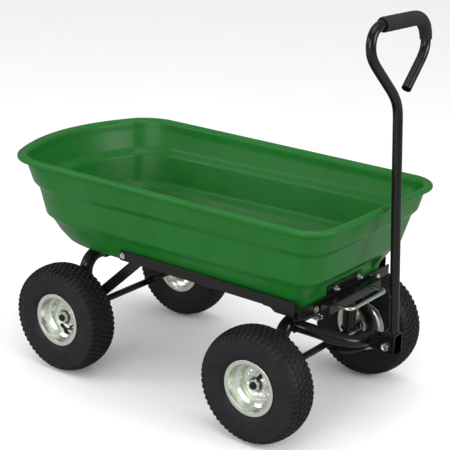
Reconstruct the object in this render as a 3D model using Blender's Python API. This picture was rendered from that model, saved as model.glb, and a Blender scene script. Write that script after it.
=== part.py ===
"""Four-wheel garden dump cart: moulded tub, steel undercarriage, steered front axle, pull handle.

Metres, +Z up, +X towards the front (the handle end), +Y to the cart's left. The ground is z = 0 and the
middle of the cart's length and width is x = y = 0. Every named object below is one physical piece.
"""
import math

import bmesh
import bpy
from mathutils import Matrix, Vector

# ---- overall layout -------------------------------------------------------------------------------
WHEELBASE = 0.5588                 # rear axle to front axle
REAR_X = -0.274                    # rear axle, from the middle of the cart
FRONT_X = REAR_X + WHEELBASE       # front axle and kingpin
TRACK = 0.4490                     # wheel middle to wheel middle
GAP = 0.0003                       # clearance between neighbouring pieces
# ---- wheels ---------------------------------------------------------------------------------------
TYRE_R = 0.130
TYRE_HALF = 0.0390                 # half the tyre's width
BEAD_R = 0.0568
FLANGE_R = 0.064                   # rim flange
FLANGE_HALF = 0.0314               # rim flange plane, from the wheel's middle plane
SEAT_R = 0.0555
WELL_R = 0.047
HUB_R = 0.0205
HUB_BORE = 0.0175
HUB_OUT = 0.002                    # hub ends: the hub is offset inboard
HUB_IN = -0.045
BEARING_W = 0.011
AXLE_R = 0.008
AXLE_END = 0.017                   # axle end, outboard of the wheel's middle plane
# ---- undercarriage --------------------------------------------------------------------------------
TUBE_R = 0.016                     # hoop and bow tube
TUBE_WALL = 0.0022
HOOP_HALF = 0.155                  # rear hoop leg, from the centre plane
HOOP_Z = 0.2625                    # rear hoop top bar: the dump hinge
BOW_HALF = 0.142                   # front bow leg
BOW_Z = 0.2364
BEND_R = 0.042
RAIL_Y = 0.185                     # outer face of the side rails
RAIL_Z = (0.295, 0.319)
RAIL_T = 0.003
RAIL_X = (REAR_X + 0.135, REAR_X + 0.620)
CROSS_X = REAR_X + 0.631           # front face of the front cross member
CROSS_Z = (0.2785, 0.3040)
# ---- tongue and handle ----------------------------------------------------------------------------
LOOP_R = 0.014
PIVOT = (REAR_X + 0.747, 0.0, 0.2005)
HANDLE_R = 0.0105
HANDLE_WALL = 0.0015
HANDLE_FOOT = (REAR_X + 0.7555, 0.2311)
HANDLE_LEAN = math.radians(3.4)    # back towards the tub
GRIP_R = 0.0158
# ---- tub ------------------------------------------------------------------------------------------
TUB_T = 0.004
TUB_FLOOR = 0.2825
REAR_EDGE = REAR_X - 0.2195        # rim outline
FRONT_EDGE = REAR_X + 0.7187
HALF_REAR = 0.2560
HALF_FRONT = 0.2540
# Levels of the wall: how far the rear, the sides and the front come in from the rim, the height at
# mid-length, and how much the level rises per metre towards the front.
OUTSIDE = [
    (0.0060, 0.0060, 0.0060, 0.5060, 0.0), (0.0, 0.0, 0.0, 0.5010, 0.0), (0.0, 0.0, 0.0, 0.4935, 0.0),
    (0.0030, 0.0030, 0.0030, 0.4925, 0.0), (0.0050, 0.0050, 0.0050, 0.4975, 0.0),
    (0.0195, 0.0165, 0.0135, 0.4965, 0.0), (0.0229, 0.0185, 0.0160, 0.4780, 0.0),
    (0.0368, 0.0300, 0.0215, 0.4398, 0.0175), (0.0510, 0.0400, 0.0332, 0.4255, 0.0190),
    (0.0648, 0.0560, 0.0500, 0.3587, 0.0224), (0.0808, 0.0665, 0.0635, 0.3450, 0.0224),
    (0.0940, 0.0820, 0.0880, 0.3130, 0.0100), (0.1150, 0.1005, 0.0950, TUB_FLOOR, 0.0),
]
INSIDE = [
    (0.0240, 0.0210, 0.0180, 0.5005, 0.0), (0.0272, 0.0228, 0.0203, 0.4800, 0.0),
    (0.0411, 0.0343, 0.0258, 0.4418, 0.0175), (0.0553, 0.0443, 0.0375, 0.4275, 0.0190),
    (0.0691, 0.0603, 0.0543, 0.3607, 0.0224), (0.0851, 0.0708, 0.0678, 0.3470, 0.0224),
    (0.0983, 0.0863, 0.0923, 0.3150, 0.0100), (0.1180, 0.1030, 0.0965, TUB_FLOOR + TUB_T, 0.0),
]
NICHE_X = REAR_X + 0.6240          # upright panel let into the foot of the front wall
NICHE_Z = 0.3495
NICHE_HALF = 0.113
LATCH_Y = 0.0720
LATCH_Z = 0.2868
LATCH_R = 0.0045

COLOURS = {
    "green_plastic": ((0.020, 0.156, 0.029), 0.0, 0.38),
    "black_steel": ((0.012, 0.012, 0.013), 0.0, 0.30),
    "zinc_steel": ((0.62, 0.62, 0.60), 1.0, 0.30),
    "tyre_rubber": ((0.016, 0.016, 0.017), 0.0, 0.72),
    "valve_rubber": ((0.012, 0.012, 0.012), 0.0, 0.60),
    "foam": ((0.018, 0.018, 0.018), 0.0, 0.90),
    "bearing_steel": ((0.50, 0.50, 0.50), 1.0, 0.25),
}


def clear_scene():
    """Start from nothing."""
    for item in list(bpy.data.objects):
        bpy.data.objects.remove(item, do_unlink=True)


def material_for(name, kind):
    """One Principled material per piece, coloured by what it is made of."""
    colour, metallic, roughness = COLOURS[kind]
    mat = bpy.data.materials.new(name + "_mat")
    mat.use_nodes = True
    shader = mat.node_tree.nodes["Principled BSDF"]
    shader.inputs["Base Color"].default_value = (*colour, 1.0)
    shader.inputs["Metallic"].default_value = metallic
    shader.inputs["Roughness"].default_value = roughness
    mat.diffuse_color = (*colour, 1.0)
    return mat


def place(name, bm, kind, smooth=True, origin=(0.0, 0.0, 0.0)):
    """Turn a bmesh given in world metres into an object whose origin is at origin."""
    bmesh.ops.recalc_face_normals(bm, faces=bm.faces)
    bmesh.ops.translate(bm, verts=bm.verts, vec=-Vector(origin))
    mesh = bpy.data.meshes.new(name)
    bm.to_mesh(mesh)
    bm.free()
    item = bpy.data.objects.new(name, mesh)
    item.location = origin
    bpy.context.scene.collection.objects.link(item)
    if kind:
        mesh.materials.append(material_for(name, kind))
    if smooth:
        mesh.shade_smooth()
        mesh.set_sharp_from_angle(angle=math.radians(35.0))
    return item


def skin(bm, rings, ring_closed=True, ends=None):
    """Quads between neighbouring rings; ends: "cap" fills both ends, "loop" joins last to first."""
    count = len(rings)
    spans = range(count if ends == "loop" else count - 1)
    for i in spans:
        low, high = rings[i], rings[(i + 1) % count]
        size = len(low)
        for j in range(size if ring_closed else size - 1):
            k = (j + 1) % size
            bm.faces.new((low[j], low[k], high[k], high[j]))
    if ends == "cap":
        bm.faces.new(rings[0])
        bm.faces.new(rings[-1])


def revolve(profile, centre, side, steps):
    """Closed profile of (radius, outboard) turned about a lateral axis; a flat lies at the bottom."""
    bm = bmesh.new()
    rings = []
    for i in range(steps):
        turn = 2.0 * math.pi * (i + 0.5) / steps - math.pi / 2.0
        ring = []
        for radius, out in profile:
            reach = radius / math.cos(math.pi / steps)
            ring.append(bm.verts.new((centre[0] + reach * math.cos(turn), centre[1] + side * out,
                                      centre[2] + reach * math.sin(turn))))
        rings.append(ring)
    skin(bm, rings, ends="loop")
    return bm


def section(radius, shape, sides):
    """Points of a round or hexagonal section about the local Z axis, as (x, y)."""
    points = []
    for i in range(sides):
        turn = 2.0 * math.pi * i / sides
        reach = radius
        if shape == "hex":  # radius is half the width across flats
            reach = radius / math.cos((turn + math.pi / 6.0) % (math.pi / 3.0) - math.pi / 6.0)
        points.append((reach * math.cos(turn), reach * math.sin(turn)))
    return points


def turned(stations, start, direction, sides=12):
    """Solid along direction: stations are (distance, radius, "round" or "hex")."""
    bm = bmesh.new()
    turn = Vector(direction).to_track_quat("Z", "Y").to_matrix()
    rings = []
    for along, radius, shape in stations:
        rings.append([bm.verts.new(Vector(start) + turn @ Vector((x, y, along)))
                      for x, y in section(radius, shape, sides)])
    skin(bm, rings, ends="cap")
    return bm


def nut(start, direction, flats, bore, height, sides=12):
    """Hexagonal ring of the given half width across flats."""
    bm = bmesh.new()
    turn = Vector(direction).to_track_quat("Z", "Y").to_matrix()
    rings = []
    for along, radius, shape in ((0.0, flats, "hex"), (height, flats, "hex"),
                                 (height, bore, "round"), (0.0, bore, "round")):
        rings.append([bm.verts.new(Vector(start) + turn @ Vector((x, y, along)))
                      for x, y in section(radius, shape, sides)])
    skin(bm, rings, ends="loop")
    return bm


def sweep(path, radius, wall=None, sides=12):
    """Round tube along a path of points; with a wall it is hollow and open at both ends. The radius is
    one number, or one for each point."""
    points = [Vector(p) for p in path]
    radii = radius if isinstance(radius, list) else [radius] * len(points)
    bm = bmesh.new()
    tangents = []
    for i in range(len(points)):
        before = points[max(i - 1, 0)]
        after = points[min(i + 1, len(points) - 1)]
        tangents.append((after - before).normalized())
    normal = tangents[0].orthogonal().normalized()
    outer, inner = [], []
    bore_r = max(radii) - wall if wall else 0.0
    for point, tangent, i in zip(points, tangents, range(len(points))):
        if i:
            normal = tangents[i - 1].rotation_difference(tangent) @ normal
        other = tangent.cross(normal)
        half = 1.0
        if 0 < i < len(points) - 1:  # widen mitred rings so the tube keeps its size round a bend
            half = 1.0 / max(0.5, (points[i + 1] - point).normalized().dot(tangent))
        for rings, reach in ((outer, radii[i]), (inner, bore_r if wall else None)):
            if reach is None:
                continue
            ring = []
            for j in range(sides):
                turn = 2.0 * math.pi * j / sides
                offset = normal * math.cos(turn) + other * math.sin(turn)
                ring.append(bm.verts.new(point + offset * (reach * (1.0 + 0.5 * (half - 1.0)))))
            rings.append(ring)
    if wall:
        skin(bm, outer + inner[::-1], ends="loop")
    else:
        skin(bm, outer, ends="cap")
    return bm


def prism(outline, axis, low, high):
    """Flat outline pushed along X, Y or Z from low to high; outline gives the two other coordinates."""
    bm = bmesh.new()
    rings = []
    for along in (low, high):
        ring = []
        for a, b in outline:
            spot = {"X": (along, a, b), "Y": (a, along, b), "Z": (a, b, along)}[axis]
            ring.append(bm.verts.new(spot))
        rings.append(ring)
    skin(bm, rings, ends="cap")
    return bm


def box(low, high):
    """Upright block between two corners."""
    return prism([(low[0], low[1]), (high[0], low[1]), (high[0], high[1]), (low[0], high[1])],
                 "Z", low[2], high[2])


def bore(name, start, direction, radius, length, sides=16):
    """Round tool used to cut holes; it is not part of the cart."""
    stations = ((0.0, radius, "round"), (length, radius, "round"))
    return tool(name, turned(stations, start, direction, sides))


def tool(name, bm):
    """A shape used only to cut or join others."""
    item = place(name, bm, None, smooth=False)
    item.hide_render = True
    item.display_type = "WIRE"
    return item


def combine(item, other, operation="DIFFERENCE"):
    """Cut other out of item, or join it on."""
    step = item.modifiers.new(operation.title() + "_" + other.name, "BOOLEAN")
    step.operation = operation
    step.solver = "EXACT"
    step.object = other


def bezier(points, steps):
    """Cubic curve through a control polygon of four points."""
    a, b, c, d = (Vector(p) for p in points)
    out = []
    for i in range(steps + 1):
        t = i / steps
        out.append(a * (1 - t) ** 3 + b * 3 * t * (1 - t) ** 2 + c * 3 * t * t * (1 - t) + d * t ** 3)
    return out


def arch(x, half, foot, top, bend, steps=4):
    """Path of an inverted U across the cart, from foot height up, over and down again."""
    path = [Vector((x, -half, foot))]
    for i in range(steps + 1):
        turn = math.pi - (math.pi / 2.0) * i / steps
        path.append(Vector((x, -half + bend + bend * math.cos(turn), top - bend + bend * math.sin(turn))))
    return path + [Vector((p.x, -p.y, p.z)) for p in reversed(path)]


# ---- wheels ---------------------------------------------------------------------------------------
TYRE_PROFILE = [(BEAD_R, 0.0270), (0.0655, 0.0275), (0.0720, 0.0345), (0.1000, TYRE_HALF),
                (0.1190, 0.0350), (TYRE_R, 0.0220)]
TYRE_INSIDE = [(0.1215, 0.0190), (0.0980, 0.0335), (0.0590, 0.0225)]
RIM_PROFILE = [
    (FLANGE_R, FLANGE_HALF), (FLANGE_R, 0.0286), (SEAT_R, 0.0278), (0.0538, 0.0080), (WELL_R, 0.0040),
    (WELL_R, -0.0100), (0.0538, -0.0140), (SEAT_R, -0.0278), (FLANGE_R, -0.0286),
    (FLANGE_R, -FLANGE_HALF), (0.0530, -0.0304), (0.0512, -0.0158), (0.0445, -0.0122),
    (HUB_R, -0.0190), (HUB_R, HUB_IN), (HUB_BORE, HUB_IN), (HUB_BORE, HUB_OUT), (HUB_R, HUB_OUT),
    (HUB_R, -0.0155), (0.0400, -0.0125), (0.0445, 0.0020), (0.0512, 0.0062), (0.0530, 0.0304),
]


VALVE_TURN = {"front_right": 62.0, "rear_right": -98.0, "front_left": 130.0, "rear_left": 20.0}  # degrees


def mirrored(half, inside):
    """Close a half profile over the middle plane, outside then inside."""
    outside = half + [(r, -a) for r, a in reversed(half)]
    return outside + [(r, -a) for r, a in reversed(inside)] + inside


def wheel(tag, x, side):
    """Tyre, pressed rim with its hub, two bearings, valve and axle nut."""
    centre = (x, side * TRACK / 2.0, TYRE_R)
    tyre = revolve(mirrored(TYRE_PROFILE, TYRE_INSIDE), centre, side, 26)
    place("tyre_" + tag, tyre, "tyre_rubber", origin=centre)
    place("rim_" + tag, revolve(RIM_PROFILE, centre, side, 20), "zinc_steel", origin=centre)
    seat = HUB_BORE - GAP - 0.0004
    for which, outer_end, face in (("outer", HUB_OUT - 0.0005, 1.0), ("inner", HUB_IN + 0.0005, -1.0)):
        race = 0.0115
        shape = [(AXLE_R + 0.0004, outer_end - face * BEARING_W), (AXLE_R + 0.0004, outer_end + face * 0.0016),
                 (race, outer_end + face * 0.0016), (race, outer_end), (seat, outer_end),
                 (seat, outer_end - face * BEARING_W)]
        place("bearing_%s_%s" % (which, tag), revolve(shape, centre, side, 14), "bearing_steel",
              origin=centre)
    stem = ((0.0, 0.0044, "round"), (0.006, 0.0044, "round"), (0.010, 0.0034, "round"),
            (0.018, 0.0034, "round"), (0.0185, 0.0040, "round"), (0.028, 0.0040, "round"))
    lift = math.radians(VALVE_TURN[tag])
    inward = Vector((-math.cos(lift), side * 0.85, -math.sin(lift))).normalized()
    reach = 0.0395
    foot = Vector((x + reach * math.cos(lift), centre[1] - side * 0.0062, TYRE_R + reach * math.sin(lift)))
    place("valve_" + tag, turned(stem, foot, inward, 10), "valve_rubber", origin=centre)
    start = (x, centre[1] + side * (HUB_OUT + 0.0018), TYRE_R)
    place("axle_nut_" + tag, nut(start, (0.0, side, 0.0), 0.012, AXLE_R + GAP, 0.009), "zinc_steel",
          origin=centre)


# ---- undercarriage --------------------------------------------------------------------------------
def axle(name, x):
    """Round rod across the cart, ending just outside the wheel hubs."""
    reach = TRACK / 2.0 + AXLE_END
    chamfer = 0.0015
    stations = ((0.0, AXLE_R - chamfer, "round"), (chamfer, AXLE_R, "round"),
                (2 * reach - chamfer, AXLE_R, "round"), (2 * reach, AXLE_R - chamfer, "round"))
    place(name, turned(stations, (x, -reach, TYRE_R), (0.0, 1.0, 0.0), 16), "black_steel",
          origin=(x, 0.0, TYRE_R))


def rear_frame():
    """Rear axle, the hoop over it that carries the dump hinge, and the two braces to the rails."""
    axle("rear_axle", REAR_X)
    foot = TYRE_R + AXLE_R + GAP
    hoop = sweep(arch(REAR_X, HOOP_HALF, foot, HOOP_Z, BEND_R), TUBE_R, TUBE_WALL)
    place("rear_hoop", hoop, "black_steel")
    top = (REAR_X + 0.178, RAIL_Z[0] - GAP)
    for tag, side in (("left", 1.0), ("right", -1.0)):
        start = Vector((REAR_X, 0.0, TYRE_R))
        along = Vector((top[0] - REAR_X, 0.0, top[1] - TYRE_R)).normalized()
        across = Vector((-along.z, 0.0, along.x))
        half = 0.012
        outline = []
        for i in range(9):
            turn = math.pi / 2.0 + math.pi * i / 8
            spot = start + along * (half * math.cos(turn)) + across * (half * math.sin(turn))
            outline.append((spot.x, spot.z))
        for edge in (-half, half):  # the upper end is cut level, just under the rail
            spot = start + across * edge
            spot += along * ((top[1] - spot.z) / along.z)
            outline.append((spot.x, spot.z))
        inner = HOOP_HALF + TUBE_R + 2 * GAP
        low, high = sorted((side * inner, side * (inner + 0.006)))
        brace = place("rear_brace_" + tag, prism(outline, "Y", low, high), "black_steel", smooth=False)
        combine(brace, bore("brace_tool_" + tag, (REAR_X, side * (inner - 0.004), TYRE_R),
                            (0.0, side, 0.0), AXLE_R + 0.0004, 0.014))


def rails():
    """Side rails: an upright leg with a gusset at the front, and a level leg turned in under the tub."""
    gusset_z = 0.2850
    for tag, side in (("left", 1.0), ("right", -1.0)):
        face = [(RAIL_X[0], RAIL_Z[0]), (REAR_X + 0.555, RAIL_Z[0]), (REAR_X + 0.570, gusset_z),
                (RAIL_X[1], gusset_z), (RAIL_X[1], RAIL_Z[1]), (RAIL_X[0], RAIL_Z[1])]
        low, high = sorted((side * RAIL_Y, side * (RAIL_Y - RAIL_T)))
        rail = place("side_rail_" + tag, prism(face, "Y", low, high), "black_steel", smooth=False)
        inner, outer = sorted((side * (RAIL_Y - 0.019), side * (RAIL_Y - RAIL_T / 2.0)))
        leg = tool("rail_leg_" + tag, box((RAIL_X[0], inner, RAIL_Z[0]),
                                          (REAR_X + 0.588, outer, RAIL_Z[0] + RAIL_T)))
        combine(rail, leg, "UNION")
        spot = (REAR_X + 0.148, side * (RAIL_Y + 0.009), 0.3085)
        combine(rail, bore("rail_hole_" + tag, spot, (0.0, -side, 0.0), 0.0046, 0.016, 12))
        bolt = ((0.0, 0.0068, "hex"), (0.0055, 0.0068, "hex"), (0.0055, 0.0040, "round"),
                (0.0094, 0.0040, "round"), (0.0094, 0.0066, "hex"), (0.0134, 0.0066, "hex"),
                (0.0134, 0.0034, "round"), (0.0144, 0.0030, "round"))
        start = (spot[0], side * (RAIL_Y + GAP + 0.0055), spot[2])
        place("rail_bolt_" + tag, turned(bolt, start, (0.0, -side, 0.0)), "zinc_steel")


def front_frame():
    """Cross member, latch housing, saddle strap over the kingpin and the upper turntable plate."""
    reach = RAIL_Y - RAIL_T - GAP
    x, z = CROSS_X, CROSS_Z
    angle = [(x - 0.018, z[0]), (x, z[0]), (x, z[1]), (x - RAIL_T, z[1]), (x - RAIL_T, z[0] + RAIL_T),
             (x - 0.018, z[0] + RAIL_T)]
    cross = place("front_cross_member", prism(angle, "Y", -reach, reach), "black_steel", smooth=False)
    start = x + GAP
    wide, deep, thick = 0.0247, (0.2750, 0.2975), 0.0028
    channel = [(start, 0.2800), (start + thick, 0.2800), (start + thick, deep[1] - thick),
               (start + wide - thick, deep[1] - thick), (start + wide - thick, deep[0]),
               (start + wide, deep[0]), (start + wide, deep[1]), (start, deep[1])]
    housing = place("latch_housing", prism(channel, "Y", -0.105, 0.105), "black_steel", smooth=False)
    tunnels = []
    for tag, side in (("left", 1.0), ("right", -1.0)):
        hole = bore("latch_tunnel_" + tag, (x - 0.020, side * LATCH_Y, LATCH_Z), (1.0, 0.0, 0.0),
                    LATCH_R + 0.0006, 0.060)
        combine(cross, hole)
        combine(housing, hole)
        tunnels.append(hole)
        spot = (x + 0.006 + GAP, side * 0.125, 0.2905)
        combine(cross, bore("cross_hole_" + tag, (x + 0.004, spot[1], spot[2]), (-1.0, 0.0, 0.0),
                            0.0046, 0.012, 12))
        bolt = ((0.0, 0.0068, "hex"), (0.006, 0.0068, "hex"), (0.006, 0.0040, "round"),
                (0.0096, 0.0040, "round"), (0.0096, 0.0066, "hex"), (0.0123, 0.0066, "hex"),
                (0.0123, 0.0034, "round"), (0.0127, 0.0030, "round"))
        place("cross_bolt_" + tag, turned(bolt, spot, (-1.0, 0.0, 0.0)), "zinc_steel")
        turns, per_turn, coil, wire = 4, 8, 0.0066, 0.0008
        path = []
        for i in range(turns * per_turn + 1):
            turn = 2.0 * math.pi * i / per_turn
            path.append((start + thick + 0.0012 + 0.0120 * i / (turns * per_turn),
                         side * LATCH_Y + coil * math.cos(turn), LATCH_Z + coil * math.sin(turn)))
        place("latch_spring_" + tag, sweep(path, wire, sides=5), "zinc_steel")

    under, dip, t = 0.2822, 0.2655, 0.004
    upper = [(0.1812, 0.2947), (0.1655, 0.2947), (0.1560, under), (0.0760, under), (0.0640, dip)]
    lower = [(y, h - t) for y, h in upper]
    lower[1] = (0.1675, 0.2947 - t)
    lower[2] = (0.1580, under - t)
    lower[3] = (0.0785, under - t)
    lower[4] = (0.0665, dip - t)
    half = upper + [(-y, h) for y, h in reversed(upper)]
    strap = half + [(-y, h) for y, h in lower] + list(reversed(lower))
    saddle = place("front_saddle", prism(strap, "X", FRONT_X - 0.022, FRONT_X + 0.022), "black_steel",
                   smooth=False)
    pin = bore("kingpin_tool", (FRONT_X, 0.0, 0.200), (0.0, 0.0, 1.0), AXLE_R + 0.0004, 0.080)
    combine(saddle, pin)
    return tunnels, pin


def disc(name, centre, radius, hole, low, high, steps=28):
    """Flat round plate with a central hole."""
    bm = bmesh.new()
    rings = []
    for i in range(steps):
        turn = 2.0 * math.pi * i / steps
        rings.append([bm.verts.new((centre[0] + r * math.cos(turn), centre[1] + r * math.sin(turn), z))
                      for r, z in ((radius, low), (radius, high), (hole, high), (hole, low))])
    skin(bm, rings, ends="loop")
    return place(name, bm, "black_steel", smooth=False, origin=(centre[0], centre[1], 0.0))


def turntable(pin):
    """The two plates that turn on each other, the front bow with its axle, and the kingpin."""
    plate, centre, hole = 0.004, (FRONT_X, 0.0), AXLE_R + 0.0004
    upper_top = 0.2655 - 0.004 - GAP
    disc("turntable_upper", centre, 0.055, hole, upper_top - plate, upper_top)
    lower_top = upper_top - plate - 0.0005
    disc("turntable_lower", centre, 0.055, hole, lower_top - plate, lower_top)
    axle("front_axle", FRONT_X)
    foot = TYRE_R + AXLE_R + GAP
    bow = sweep(arch(FRONT_X, BOW_HALF, foot, BOW_Z, BEND_R), TUBE_R, TUBE_WALL)
    bow = place("front_bow", bow, "black_steel")
    combine(bow, pin)
    stations = ((0.0, AXLE_R - 0.001, "round"), (0.001, AXLE_R, "round"), (0.0603, AXLE_R, "round"),
                (0.0603, 0.0130, "hex"), (0.0703, 0.0130, "hex"))
    place("kingpin", turned(stations, (FRONT_X, 0.0, 0.2055), (0.0, 0.0, 1.0), 12), "zinc_steel",
          origin=(FRONT_X, 0.0, 0.2055))
    place("kingpin_nut", nut((FRONT_X, 0.0, 0.2095), (0.0, 0.0, 1.0), 0.0130, AXLE_R + GAP, 0.0105),
          "zinc_steel", origin=(FRONT_X, 0.0, 0.2055))


# ---- tongue and handle ----------------------------------------------------------------------------
def tongue():
    """Loop of tube from the bow down to the front, a plate under it and the handle bracket."""
    base = FRONT_X + TUBE_R + 2 * GAP
    apex, low_z = REAR_X + 0.688, 0.1950
    root = Vector((base, -0.110, 0.2325))
    leg = [root] + bezier([root + Vector((0.005, 0.0, 0.0)), (base + 0.021, -0.110, 0.2325),
                           (base + 0.042, -0.095, 0.2255), (base + 0.062, -0.082, 0.2165)], 4)
    nose = bezier([leg[-1], (base + 0.088, -0.065, 0.2050), (apex, -0.038, low_z), (apex, 0.0, low_z)], 4)
    half = leg + nose[1:]
    path = half + [Vector((p.x, -p.y, p.z)) for p in reversed(half[:-1])]
    place("tongue_loop", sweep(path, LOOP_R, TUBE_WALL), "black_steel")
    rear, reach = REAR_X + 0.634, 0.066
    plate = [(rear, -reach)]
    for i in range(9):
        turn = -math.pi / 2.0 + math.pi * i / 8
        plate.append((rear + 0.016 + 0.044 * math.cos(turn), reach * math.sin(turn)))
    plate.append((rear, reach))
    top = low_z - LOOP_R - 2 * GAP
    place("tongue_plate", prism(plate, "Z", top - 0.005, top), "black_steel", smooth=False)
    half_y, thick, low, high = 0.0130, 0.004, 0.1840, 0.2165
    channel = [(-half_y, high), (-half_y, low), (half_y, low), (half_y, high), (half_y - thick, high),
               (half_y - thick, low + thick), (thick - half_y, low + thick), (thick - half_y, high)]
    bracket = place("tongue_bracket", prism(channel, "X", apex + LOOP_R + 2 * GAP, PIVOT[0] + 0.011),
                    "black_steel", smooth=False)
    hole = bore("pivot_tool", (PIVOT[0], -0.030, PIVOT[2]), (0.0, 1.0, 0.0), 0.0054, 0.060)
    combine(bracket, hole)
    return hole


def handle(hole):
    """Fork, shaft bent into an open loop at the top, foam grip, and the pivot bolt with its nut."""
    inner, thick, low, high = 0.0135 + GAP, 0.0035, 0.1850, 0.2300
    outer = inner + thick
    fork = [(-outer, low), (-inner, low), (-inner, high - thick), (inner, high - thick), (inner, low),
            (outer, low), (outer, high), (-outer, high)]
    item = place("handle_fork", prism(fork, "X", PIVOT[0] - 0.013, PIVOT[0] + 0.0205), "black_steel",
                 smooth=False, origin=PIVOT)
    combine(item, hole)

    def at(y, z):
        """World point of the leaning handle plane at height z."""
        return Vector((HANDLE_FOOT[0] - (z - HANDLE_FOOT[1]) * math.tan(HANDLE_LEAN), y, z))

    def curve(points, steps):
        """Bezier in the handle plane."""
        return [at(p.x, p.y) for p in bezier([(*q, 0.0) for q in points], steps)]

    shaft = [at(0.0, HANDLE_FOOT[1]), at(0.0, 0.698)]
    neck = curve([(0.0, 0.698), (0.0, 0.728), (-0.012, 0.742), (-0.030, 0.7605)], 4)
    side_a = curve([(-0.080, 0.8085), (-0.098, 0.826), (-0.1085, 0.838), (-0.1085, 0.857)], 4)
    top_a = curve([(-0.1085, 0.857), (-0.1085, 0.880), (-0.092, 0.896), (-0.066, 0.896)], 4)
    top_b = curve([(0.058, 0.8935), (0.088, 0.893), (0.1095, 0.877), (0.1095, 0.843)], 5)
    side_b = curve([(0.1095, 0.843), (0.1095, 0.827), (0.102, 0.8165), (0.090, 0.805)], 3)
    side_b.append(at(0.0321, 0.753))
    path = shaft + neck[1:] + side_a + top_a[1:] + top_b + side_b[1:]
    place("handle_tube", sweep(path, HANDLE_R, HANDLE_WALL, sides=10), "black_steel", origin=PIVOT)
    cover = top_a[4:] + top_b                      # the foam stretches thin round the bend
    thin = HANDLE_R + 0.0022
    radii = [GRIP_R, GRIP_R, 0.0152, 0.0146, 0.0138, 0.0130, thin]
    grip = sweep(cover, radii[:len(cover)], GRIP_R - HANDLE_R - 0.0007, sides=14)
    place("handle_grip", grip, "foam", origin=PIVOT)
    bolt = ((0.0, 0.0085, "hex"), (0.0065, 0.0085, "hex"), (0.0065, 0.0050, "round"),
            (0.0500, 0.0050, "round"))
    start = (PIVOT[0], -(outer + GAP + 0.0065), PIVOT[2])
    place("pivot_bolt", turned(bolt, start, (0.0, 1.0, 0.0)), "zinc_steel", origin=PIVOT)
    place("pivot_nut", nut((PIVOT[0], outer + GAP, PIVOT[2]), (0.0, 1.0, 0.0), 0.0083, 0.0053, 0.0080),
          "zinc_steel", origin=PIVOT)


# ---- tub ------------------------------------------------------------------------------------------
def outline(level, wall=0.0, sunk=False):
    """One ring of the tub: bowed rear, slightly tapered sides, nearly straight front, optional niche."""
    rear_in, side_in, front_in, height, rise = level
    rear, front = REAR_EDGE + rear_in, FRONT_EDGE - front_in
    half_rear, half_front = HALF_REAR - side_in, HALF_FRONT - side_in
    bow, turn_y = 1.3, 0.205 - side_in * 0.9
    near = [(rear + bow * (turn_y * i / 4) ** 2, turn_y * i / 4) for i in range(5)]
    last, corner_x = near[-1], REAR_EDGE + 0.1395 + rear_in
    tie = Vector((2.0 * bow * turn_y, 1.0)).normalized() * 0.030
    corner = bezier([(*last, 0.0), (last[0] + tie.x, last[1] + tie.y, 0.0),
                     (corner_x - 0.034, half_rear, 0.0), (corner_x, half_rear, 0.0)], 5)
    near += [(p.x, p.y) for p in corner[1:]]
    bend = 0.070 - 0.45 * side_in                  # the front corners tighten towards the floor
    turn_x = front - bend
    for i in range(1, 5):
        t = i / 4
        near.append((corner_x + (turn_x - corner_x) * t, half_rear + (half_front - half_rear) * t))
    inner_y = half_front - bend - 0.004
    corner = bezier([(turn_x, half_front, 0.0), (front - 0.40 * bend, half_front - 0.001, 0.0),
                     (front - 0.003, half_front - 0.48 * bend, 0.0), (front - 0.003, inner_y, 0.0)], 5)
    near += [(p.x, p.y) for p in corner[1:]]
    deep = NICHE_X - wall if sunk else front
    near += [(front - 0.002, NICHE_HALF + 0.005 + wall), (min(front - 0.002, deep), NICHE_HALF + wall),
             (min(front, deep), 0.0)]
    ring = near + [(x, -y) for x, y in reversed(near[1:-1])]
    return [(x, y, height + rise * (x - REAR_X - 0.243)) for x, y in ring]


def between(upper, lower, height):
    """Level part of the way down from upper to lower whose front stands at height."""
    front = [level[3] + level[4] * (FRONT_EDGE - level[2] - REAR_X - 0.243) for level in (upper, lower)]
    t = (front[0] - height) / (front[0] - front[1])
    return tuple(a + (b - a) * t for a, b in zip(upper, lower))


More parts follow.
